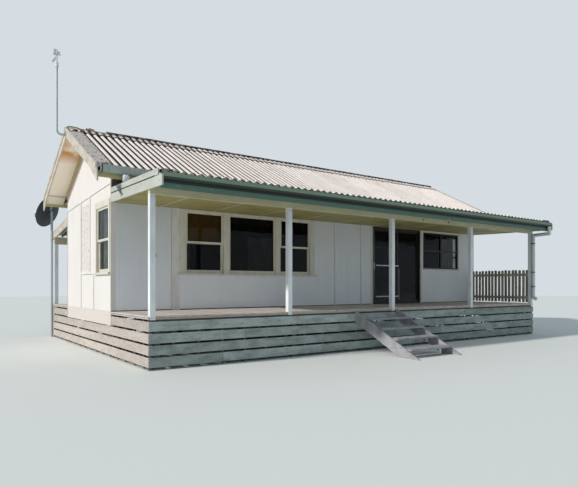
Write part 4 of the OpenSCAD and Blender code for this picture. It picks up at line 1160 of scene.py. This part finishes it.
class BEACHHOUSE_OT_gutters(Step, Operator):
    """Finish the gutters and the downpipe, and add the straps and sleeves that hold them"""
    bl_idname = "beach_house.gutters"
    bl_label = "Gutters and Downpipe"

    def execute(self, context):
        dress("old_gutter_steel", "main_gutters")
        dress("green_gutter_steel", "veranda_gutter")
        dress("pipe_steel", "downpipe")
        self.bowls()
        self.sleeves()
        self.clips()
        return {"FINISHED"}

    def bowls(self):
        """The deep round bowls of the main gutters, with a black fill of painted shade in them, an end bead
        and straps.
        """
        low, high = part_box("main_gutters")
        left, right, lip, middle = low.x - 0.035, high.x + 0.02, high.z - 0.004, high.y - 0.0545
        bowls, bowl_shade, straps = Shape(), Shape(), Shape()

        def trough(y, radius, top, turn=1):
            """An upright-sided trough with a round bottom, as a line from one side to the other."""
            side, foot = radius * turn, low.z - 0.02
            arc = [(y + radius * math.cos(t), foot + radius * math.sin(t))
                   for t in spread(math.pi, math.tau, 17)[::turn]]
            return [(y - side, top)] + arc + [(y + side, top)]

        def wall(shape, y, outer, inner, start, end):
            """A length of trough with an outer and an inner radius."""
            shape.prism(trough(y, outer, lip) + trough(y, inner, lip, -1), start, end)

        for y in (-middle, middle):
            firsts = [(shape, len(shape.points)) for shape in (bowls, bowl_shade)]
            wall(bowls, y, 0.0565, 0.0555, left, right)
            wall(bowls, y, 0.0575, 0.047, left - 0.004, left)
            wall(bowls, y, 0.0575, 0.047, right, right + 0.004)
            # Painted shade: a black fill, so that the bowls' insides read dark at their open ends
            bowl_shade.prism(trough(y, 0.055, low.z + 0.012), left + 0.001, right - 0.001)
            # The left ends are cut askew, so that the dark inside shows
            for shape, first in firsts:
                for i, (px, py, pz) in enumerate(shape.points[first:], first):
                    if px < left + 0.01:
                        shape.points[i] = (px + 0.8 * (abs(py) - high.y + 0.111), py, pz)
            for x in spread(low.x + 0.07, high.x - 0.07, 14):
                wall(straps, y, 0.0605, 0.057, x - 0.0125, x + 0.0125)
        bowls.make("gutter_bowls", "old_gutter_steel", "gutter_grey", smooth=40)
        bowl_shade.make("gutter_leaves", "black_muck", "gutter_grey")
        straps.make("gutter_straps", "rusted_nail", "galvanised")

    def sleeves(self):
        """Sleeves that follow the veranda gutter's section, over its joints."""
        low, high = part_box("veranda_gutter")
        section = ((0, -0.002), (-0.0735, -0.002), (-0.1022, 0.0325), (-0.1022, 0.0955), (-0.0998, 0.0955),
                   (-0.0998, 0.0333), (-0.0718, -0.0002), (0, -0.0002))
        sleeves = Shape()
        for x in spread(low.x, high.x, 5)[1:-1]:
            sleeves.prism([(high.y + y, low.z + z) for y, z in section], x - 0.02, x + 0.02)
        sleeves.make("gutter_sleeves", "green_gutter_steel", "gutter_green")

    def clips(self):
        """Clips that hold the downpipe to the last post."""
        low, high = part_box("downpipe")
        radius, half = 0.046, 0.014
        x, y = (low.x + high.x) / 2, high.y - radius - 0.004
        clips = Shape()
        for z in (1.32, 1.72, 2.52):
            clips.tube([(x, y, z - half), (x, y, z + half)], radius + 0.003, 32)
            clips.board((x - 0.03, y + 0.036, z - half), (x + 0.03, DECK_LOW.y, z + half), 0.001)
        clips.make("pipe_clips", "rusted_nail", "galvanised")


class BEACHHOUSE_OT_porches(Step, Operator):
    """Finish the posts, beams, rafters, ceiling, fascia and end boards, and add battens, bolts and the
    strips of painted shade between the end boards
    """
    bl_idname = "beach_house.porches"
    bl_label = "Veranda and Rear Porch"

    def execute(self, context):
        dress("post_timber", "veranda_posts", "rear_porch_posts", eased=0.005)
        dress("beam_timber", "beams", eased=0.004)
        dress("rafter_timber", "rafters")
        dress("ceiling_fibre_cement", "veranda_ceiling")
        dress("green_timber", "veranda_fascia", eased=0.002)
        dress("end_board_timber", "veranda_end_boards", eased=0.003)
        self.battens()
        self.bolts()
        self.joints()
        return {"FINISHED"}

    def battens(self):
        """Flat battens under the joints of the veranda ceiling."""
        low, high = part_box("veranda_ceiling")
        battens = Shape()
        near, far, under = low.y + 0.001, high.y - 0.06, low.z - 0.0055
        for x in spread(low.x + 0.93, high.x - 0.93, 9):
            battens.board((x - 0.02, near, under), (x + 0.02, far, low.z), 0.001)
        battens.make("ceiling_battens", "beam_timber", "beam_paint")

    def bolts(self):
        """Bolts through the posts' ends, through the beam and along each end board."""
        bolts, tilt = Shape(), math.tan(roof_sizes().veranda_fall)
        for low, high in solids("veranda_posts"):
            for x, z in product((low.x + 0.028, high.x - 0.028), (high.z - 0.05, DECK_Z - 0.03)):
                bolts.dome((x, low.y, z), (0, -1, 0), *POST_BOLT)
        beam_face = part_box("beams")[0].y
        for x in (0.94, 1.84):
            bolts.dome((x, beam_face, 2.86), (0, -1, 0), *BEAM_BOLT)
        for low, high in solids("veranda_end_boards"):
            x, out = (low.x, -1) if low.x < 0 else (high.x, 1)
            for y in spread(high.y - 0.15, low.y + 0.12, 5):
                rise = (high.z - low.z) * 0.5 + (y - (low.y + high.y) / 2) * tilt
                bolts.dome((x, y, low.z + rise), (out, 0, 0), *END_BOARD_BOLT)
        bolts.make("beam_bolts", "rusted_nail", "galvanised")

    def joints(self):
        """A black strip of painted shade in the open gap between the two boards of each end, which falls
        with the roof.
        """
        low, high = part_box("veranda_end_boards")
        start, lift, gap = low.y + 0.3, low.z + 0.161, 0.02
        foot, head = (lift + (y - low.y) * math.tan(roof_sizes().veranda_fall) for y in (start, high.y))
        outline = [(start, foot), (high.y, head), (high.y, head + gap), (start, foot + gap)]
        joints = Shape()
        for x in (low.x, high.x):
            joints.prism(outline, x - 0.0008, x + 0.0008)
        joints.make("end_board_joints", "black_muck", "end_board_paint")


class BEACHHOUSE_OT_decks(Step, Operator):
    """Lay the boards of the front and rear decks"""
    bl_idname = "beach_house.decks"
    bl_label = "Decks"

    def execute(self, context):
        draw = random.Random(timber_sizes().seed)
        for node in ("front_deck", "rear_deck"):
            self.lay(node, draw)
        return {"FINISHED"}

    def lay(self, node, draw):
        """The boards of one deck, whose outer ends are a little uneven where no post stands on them."""
        sizes = timber_sizes()
        low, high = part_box(node)
        front = node == "front_deck"
        posts = [(a.x - 0.002, b.x + 0.002) for a, b in solids("veranda_posts")] if front else []
        count = round((high.x - low.x) / (sizes.deck_board + sizes.deck_gap))
        pitch = (high.x - low.x + sizes.deck_gap) / count
        boards, nails = Shape(), Shape()
        for i in range(count):
            left = low.x + i * pitch
            right = left + pitch - sizes.deck_gap
            shorter, sunk = draw.choice((0, 0.002, 0.004, 0.008, 0.016)), draw.uniform(0, 0.002)
            if any(a < right and left < b for a, b in posts):
                shorter = 0.01
            near = low.y + (shorter if front else 0)
            far = high.y - (0 if front else shorter)
            boards.board((left, near, low.z), (right, far, high.z - sunk), 0.003, draw.random())
            for y, x in product(spread(low.y + 0.05, high.y - 0.05, 4), (left + 0.02, right - 0.02)):
                nails.dome((x, y, high.z - sunk), (0, 0, 1), *DECK_NAIL)
        boards.make(node + "_boards", "deck_timber", "floor_boards", smooth=40, replaces=[node])
        nails.make(node + "_nails", "rusted_nail", "floor_boards")


class BEACHHOUSE_OT_skirting(Step, Operator):
    """Build the spaced skirting boards in lengths that butt on battens, with their nails and battens"""
    bl_idname = "beach_house.skirting"
    bl_label = "Skirting"

    def execute(self, context):
        draw = random.Random(timber_sizes().seed + 2)
        strips, nails, battens = Shape(), Shape(), {}
        for end, coat in (("front", "front"), ("rear", "front"), ("side", "side")):
            node = end + "_skirting"
            boards = Shape()
            for low, high in solids(node):
                if high.z - low.z < 0.06 and node == "front_skirting" and low.z > 0.1:
                    strips.board(low + Vector((0, 0, 0.006)), high, 0.002, draw.random())
                else:
                    self.board(boards, nails, battens, low, high, draw)
            boards.make(node + "_boards", coat + "_skirt_timber", coat + "_skirting_paint", smooth=40,
                        replaces=[node])
        strips.make("deck_edge_strips", "deck_edge_timber", "floor_boards")
        nails.make("skirting_nails", "rusted_nail", "side_skirting_paint")
        self.battens(battens)
        return {"FINISHED"}

    def board(self, boards, nails, battens, low, high, draw):
        """One row of the skirting, cut into boards over its battens, which stand each 0.45 m."""
        run = 0 if high.x - low.x > high.y - low.y else 1
        across = 1 - run
        inner, face = sorted((low[across], high[across]), key=abs)
        outward = Vector((0, 0, 0))
        outward[across] = math.copysign(1, face)
        clear, inset = 0.12, 0.047  # How far in the battens start, and where the one at each end stands
        marks = [mark for mark in spread(-6.03, 6.03, 28) if low[run] + clear < mark < high[run] - clear]
        ends = [low[run] + inset, high[run] - inset]
        for start, end in cut_at(draw, low[run], high[run], marks, 5, 9):
            a, b = low.copy(), high.copy()
            a[run], b[run] = start + draw.uniform(0, 0.0025), end - draw.uniform(0, 0.0025)
            a.z += draw.uniform(0.005, 0.009)
            b.z -= draw.uniform(0.005, 0.009)
            boards.board(a, b, min(0.003, (b.z - a.z) / 3), draw.random())
            for mark in marks + ends:
                if start < mark < end and high.z - low.z > 0.1:
                    for share in (0.22, 0.78):
                        point = Vector((0, 0, low.z + share * (high.z - low.z)))
                        point[run] = mark + draw.uniform(-0.008, 0.008)
                        point[across] = face
                        nails.dome(point, outward, *SKIRTING_NAIL)
        for mark in marks + ends:
            battens[run, round(inner, 4), round(mark, 4)] = outward[across]

    def battens(self, battens):
        """The upright battens behind the boards, below the bearers' level along the front and the back. They
        have the stumps' dark finish, painted shade that keeps the gaps between the boards dark.
        """
        shape = Shape()
        stumps = solids("stumps")
        half = 0.022
        for (run, inner, mark), side in battens.items():
            top = DECK_LOW.z - 0.102
            if run == 1:
                top = WALL_LOW.z if abs(mark) < HALF_DEPTH + 0.03 else DECK_LOW.z
            low, high = Vector((0, 0, 0)), Vector((0, 0, top))
            low[run], high[run] = mark - half, mark + half
            low[1 - run], high[1 - run] = sorted((inner, inner - side * half))
            if not any(a.x < high.x and low.x < b.x and a.y < high.y and low.y < b.y for a, b in stumps):
                shape.board(low, high, 0.002)
        shape.make("skirting_battens", "stump_hardwood", "stump_timber")


class BEACHHOUSE_OT_windows(Step, Operator):
    """Finish the windows, and hang the blinds and curtains that show behind their glass"""
    bl_idname = "beach_house.windows"
    bl_label = "Windows"

    def execute(self, context):
        dress("window_timber", "window_frames", "window_sashes", "back_door", eased=0.003)
        dress("window_timber", "opening_trims", eased=0.002)
        dress("glass", "window_glass")
        dress("dark_aluminium", "aluminium_window", eased=0.0015)
        self.triple([(a, b) for a, b in solids("window_glass") if a.y < 0.1 - HALF_DEPTH and b.x < 0])
        # A pale and a brown curtain drawn to the sides of the left gable's window
        x = WALL_THICK - HALF_LENGTH + 0.045
        for colour, start, end, cloth in (("pale", -0.8, -1.02, "curtain_cloth"),
                                          ("brown", -1.4, -1.58, "brown_curtain_cloth")):
            hang_curtain("gable_" + colour + "_curtain", (x, start), (x, end), 1.62, 2.86, cloth)
        # A pale curtain behind the right half of the aluminium window
        low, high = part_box("aluminium_window")
        y = INSIDE + 0.05
        hang_curtain("bedroom_curtain", (high.x - 0.72, y), (high.x - 0.06, y), low.z + 0.02, high.z - 0.14,
                     "curtain_cloth", 0.02, 0.09)
        return {"FINISHED"}

    def triple(self, panes):
        """A roller blind in the left light of the triple window, and a curtain in the right one."""
        left = min(a.x for a, b in panes)
        right = max(b.x for a, b in panes)
        top = max(b.z for a, b in panes)
        self.blind("left_blind", left - 0.01, 0.8, top + 0.02, 0.64)
        y = INSIDE + 0.06
        hang_curtain("kitchen_curtain", (right - 0.78, y), (right - 0.62, y), 1.64, top - 0.32,
                     "brown_curtain_cloth")

    def blind(self, name, x, width, top, drop):
        """A cloth that hangs from its roller, with a lath along its foot."""
        y = INSIDE + 0.03
        roller, lath = Shape(), Shape()
        roller.tube([(x - 0.015, y, top), (x + width + 0.015, y, top)], 0.016, 20)
        tube = roller.make(name + "_roller", "blind_cloth", smooth=40)
        cloth = Shape()
        wide = cloth.cloth([(x + width * t, y - 0.0165) for t in spread(0, 1, 9)], top - drop, top, 10)
        sheet = cloth.make(name, "blind_cloth", smooth=40)
        lath.board((x, y - 0.022, top - drop - 0.004), (x + width, y - 0.011, top - drop + 0.02), 0.003)
        bar = lath.make(name + "_lath", "window_timber")


class BEACHHOUSE_OT_sliding_door(Step, Operator):
    """Finish the sliding door, its push bars' brackets, and the curtains that show behind it"""
    bl_idname = "beach_house.sliding_door"
    bl_label = "Sliding Door"

    def execute(self, context):
        dress("dark_aluminium", "sliding_door_frame", "fixed_door_panel", "sliding_door_panel",
              eased=0.0015)
        dress("glass", "sliding_door_glass")
        dress("white_plastic", "push_bars", eased=0.003)
        channels = Shape()
        low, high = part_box("sliding_door_frame")
        for x in (low.x + 0.004, low.x + 0.034):
            channels.board((x, low.y - 0.003, low.z + 0.03), (x + 0.009, low.y, high.z - 0.04), 0.001)
        channels.make("jamb_channels", "channel_aluminium", "dark_aluminium")
        brackets = Shape()
        leaf_low, leaf_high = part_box("sliding_door_panel")
        for low, high in solids("push_bars"):
            front, foot, head = low.y - 0.0015, low.z - 0.006, high.z + 0.006
            for x in (low.x + 0.02, high.x - 0.03):
                brackets.board((x - 0.014, front, foot), (x + 0.014, high.y, head), 0.001)
                brackets.dome((x, front, (low.z + high.z) / 2), (0, -1, 0), *BRACKET_SCREW)
        # The leaf's handle: a plate, and a pull bent out of it
        x, face = leaf_low.x + 0.028, leaf_low.y
        brackets.board((leaf_low.x + 0.014, face - 0.004, 1.78), (leaf_low.x + 0.042, face, 1.96), 0.002)
        pull = ((0.003, 1.84), (0.011, 1.845), (0.011, 1.895), (0.003, 1.9))
        brackets.tube([(x, face - out, z) for out, z in pull], 0.004, 10)
        brackets.make("leaf_fittings", "galvanised_tube", "galvanised", body="sliding_leaf")
        y, foot = INSIDE + 0.055, DECK_Z + 0.03
        hang_curtain("door_dark_curtain", (leaf_low.x, y), (leaf_high.x - 0.12, y), foot, DECK_Z + 1.5,
                     "blue_curtain_cloth", 0.026, 0.12)
        hang_curtain("door_pale_curtain", (leaf_high.x + 0.03, y), (leaf_high.x + 0.2, y), foot,
                     DECK_Z + 0.95, "curtain_cloth", 0.02, 0.085)
        return {"FINISHED"}


class BEACHHOUSE_OT_steps(Step, Operator):
    """Finish the flight of steps and nail its treads"""
    bl_idname = "beach_house.steps"
    bl_label = "Steps"

    def execute(self, context):
        dress("silvered_hardwood", "steps", eased=0.004)
        low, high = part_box("steps")
        nails = Shape()
        rises = 5
        rise, going = DECK_Z / rises, (high.y - low.y) / rises
        for k, share, (x, out) in product(range(1, rises), (-0.25, 0, 0.25), ((low.x, -1), (high.x, 1))):
            place = (x, high.y - (k - 0.05 + share) * going, DECK_Z - k * rise - 0.017)
            nails.dome(place, (out, 0, 0), *BOARD_NAIL)
        nails.make("tread_nails", "rusted_nail", "steps_timber")
        return {"FINISHED"}


class BEACHHOUSE_OT_balustrade(Step, Operator):
    """Build the balustrade's uneven palings on their rails"""
    bl_idname = "beach_house.balustrade"
    bl_label = "Balustrade"

    def execute(self, context):
        draw = random.Random(timber_sizes().seed + 3)
        low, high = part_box("balustrade")
        rails, palings, nails = Shape(), Shape(), Shape()
        sizes, back, clip = timber_sizes(), low.x + 0.035, 0.018  # Palings' back, and their clipped corners
        for z in (0.12, 0.76):
            rails.board((low.x, low.y, DECK_Z + z), (back, high.y, DECK_Z + z + 0.07), 0.003, 0.3)
        half, pitch = sizes.paling / 2, (high.y - low.y) / sizes.palings
        for k in range(sizes.palings):
            middle = low.y + (k + 0.5) * pitch + draw.uniform(-0.006, 0.006)
            top, foot = high.z - draw.uniform(0, 0.02), low.z - 0.025 + draw.uniform(0, 0.015)
            lean = draw.uniform(-0.006, 0.006)
            clips = clip * draw.uniform(0.8, 1.25)
            outline = [(middle - half, foot), (middle + half, foot), (middle + half + lean, top - clips),
                       (middle + half - clips + lean, top), (middle - half + clips + lean, top),
                       (middle - half + lean, top - clips)]
            face = high.x - draw.uniform(0, 0.002)
            palings.prism(outline, back, face, draw.random())
            for z, y in product((0.155, 0.795), (-0.02, 0.02)):
                nails.dome((face, middle + y, DECK_Z + z), (1, 0, 0), *PALING_NAIL)
        palings.make("balustrade_palings", "sawn_palings", "paling_timber", replaces=["balustrade"])
        rails.make("balustrade_rails", "sawn_rails", "paling_timber")
        nails.make("paling_nails", "rusted_nail", "paling_timber")
        return {"FINISHED"}


class BEACHHOUSE_OT_aerials(Step, Operator):
    """Finish the mast on the gable and the dish beside the rear porch, with their small fittings"""
    bl_idname = "beach_house.aerials"
    bl_label = "Mast and Dish"

    def execute(self, context):
        dress("galvanised_tube", "antenna")
        dress("white_plastic", "antenna_head", eased=0.002)
        dress("dish_steel", "satellite_dish")
        low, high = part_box("antenna")
        fittings = Shape()
        # A flange and four screws where the mast leaves the barge boards
        face, z, circle = high.x - 0.004, low.z + 0.022, 0.037
        fittings.tube([(face, 0, z), (high.x - 0.0002, 0, z)], 0.05, 32)
        for turn in spread(0.4, 0.4 + math.tau * 0.75, 4):
            place = (face, circle * math.cos(turn), z + circle * math.sin(turn))
            fittings.dome(place, (-1, 0, 0), *FLANGE_SCREW)
        # A clamp below the head
        x = low.x + 0.022
        fittings.tube([(x, 0, high.z - 0.06), (x, 0, high.z - 0.035)], 0.0245, 32)
        fittings.make("mast_fittings", "galvanised_tube", "galvanised", smooth=40)
        self.feed()
        return {"FINISHED"}

    def feed(self):
        """The feed horn at the end of the dish's arm, and the rolled rim of the dish."""
        turn = (Matrix.Translation(DISH_POLE) @ Matrix.Rotation(math.radians(132), 4, "Z")
                @ Matrix.Rotation(math.radians(68), 4, "Y"))
        arm = (turn @ Matrix.Translation((DISH_WIDE * 0.46, 0, 0.12))
               @ Matrix.Rotation(math.radians(-24), 4, "Y"))
        feed = Shape()
        bend = ((0, 0.36), (-0.02, 0.4), (-0.07, 0.42), (-0.12, 0.4))
        feed.tube([arm @ Vector((x, 0, z)) for x, z in bend], [0.02, 0.028, 0.028, 0.022], 20)
        feed.make("dish_feed", "white_plastic", "dish_metal", smooth=40)
        rim = Shape()
        radius, depth = 0.409, 0.14
        rim.tube([turn @ Vector((radius * math.cos(t), radius * math.sin(t), depth))
                  for t in spread(0, math.tau, 73)], 0.005, 8)
        rim.make("dish_rim", "dish_steel", "dish_metal", smooth=60)


class BEACHHOUSE_OT_fittings(Step, Operator):
    """Add the lamp under the left eave, the plate bracket on the end boards and the hook on the post"""
    bl_idname = "beach_house.fittings"
    bl_label = "Small Fittings"

    def execute(self, context):
        face, end = EAVE_LOW.y, -HALF_LENGTH
        lamp, plate, cord, gap_shade, hook = (Shape() for _ in range(5))
        lamp.board((-5.54, face - 0.16, 3.2), (-5.425, face - 0.08, 3.33), 0.024)
        lamp.make("lamp_box", "white_plastic", "post_white", smooth=60)
        # The lamp's foot and arm, and the plate on the end boards with its hook
        plate.board((-5.52, face - 0.012, 3.28), (-5.43, face, 3.335), 0.003)
        plate.board((-5.49, face - 0.12, 3.29), (-5.46, face - 0.008, 3.32), 0.003)
        outline = [(-2.09, 3.15), (-2.26, 3.14), (-2.25, 3.08), (-2.21, 3.04), (-2.15, 3.06)]
        plate.prism(outline, end - 0.005, end)
        plate.make("eave_bracket", "blue_steel", "galvanised")
        cord.tube([(end - 0.008, -2.22, 3.05)] + [(end - 0.009, y, z) for y, z in (
            (-2.3, 3.0), (-2.38, 2.955), (-2.39, 2.975))], 0.006, 10)
        cord.make("bracket_hook", "rusted_nail", "galvanised")
        # A dark raw board between the left end of the front wall and the eave, partly painted shade of the
        # open gap there
        gap_shade.board((end + 0.01, -HALF_DEPTH - 0.02, 3.17), (-5.15, -HALF_DEPTH, EAVE_LOW.z - 0.001),
                      0.002)
        gap_shade.make("eave_packing", "bearer_hardwood", "cream_timber")
        # The hook on the first post
        low, high = solids("veranda_posts")[0]
        x, y = high.x, low.y + 0.045
        bend = ((-0.004, 1.86), (0.02, 1.858), (0.034, 1.84), (0.03, 1.815), (0.014, 1.812))
        hook.tube([(x + out, y, z) for out, z in bend], 0.0045, 10)
        hook.dome((x, y, 1.86), (1, 0, 0), *HOOK_PLATE)
        hook.make("post_hook", "rusted_nail", "galvanised", smooth=40)
        return {"FINISHED"}


class BEACHHOUSE_PT_panel(Panel):
    """Lists the house's settings and the steps that build it"""
    bl_idname = "BEACHHOUSE_PT_panel"
    bl_label = "Beach House"
    bl_space_type = "VIEW_3D"
    bl_region_type = "UI"
    bl_category = "Beach House"

    def draw(self, context):
        for heading, group in (("Roof", roof_sizes()), ("Timber", timber_sizes()), ("Colours", colours())):
            box = self.layout.box()
            box.label(text=heading)
            for name in group.__annotations__:
                box.prop(group, name)
        steps = self.layout.column(align=True)
        for step in STEPS:
            steps.operator(step.bl_idname)


GROUPS = {
    "beach_house_roof": RoofSettings,
    "beach_house_timber": TimberSettings,
    "beach_house_colours": ColourSettings,
}

# The steps in the order in which the house is built
STEPS = (
    BEACHHOUSE_OT_stage,
    BEACHHOUSE_OT_base,
    BEACHHOUSE_OT_walls,
    BEACHHOUSE_OT_roof_sheets,
    BEACHHOUSE_OT_ridge,
    BEACHHOUSE_OT_roof_trim,
    BEACHHOUSE_OT_gutters,
    BEACHHOUSE_OT_porches,
    BEACHHOUSE_OT_decks,
    BEACHHOUSE_OT_skirting,
    BEACHHOUSE_OT_windows,
    BEACHHOUSE_OT_sliding_door,
    BEACHHOUSE_OT_steps,
    BEACHHOUSE_OT_balustrade,
    BEACHHOUSE_OT_aerials,
    BEACHHOUSE_OT_fittings,
)


def register():
    for group in (*GROUPS.values(), *STEPS, BEACHHOUSE_PT_panel):
        bpy.utils.register_class(group)
    for name, group in GROUPS.items():
        setattr(bpy.types.Scene, name, PointerProperty(type=group))


def unregister():
    for name in GROUPS:
        delattr(bpy.types.Scene, name)
    for group in reversed((*GROUPS.values(), *STEPS, BEACHHOUSE_PT_panel)):
        bpy.utils.unregister_class(group)


def main():
    """Builds the whole house."""
    register()
    for step in STEPS:
        area, name = step.bl_idname.split(".")
        getattr(getattr(bpy.ops, area), name)()


if __name__ == "__main__":
    main()
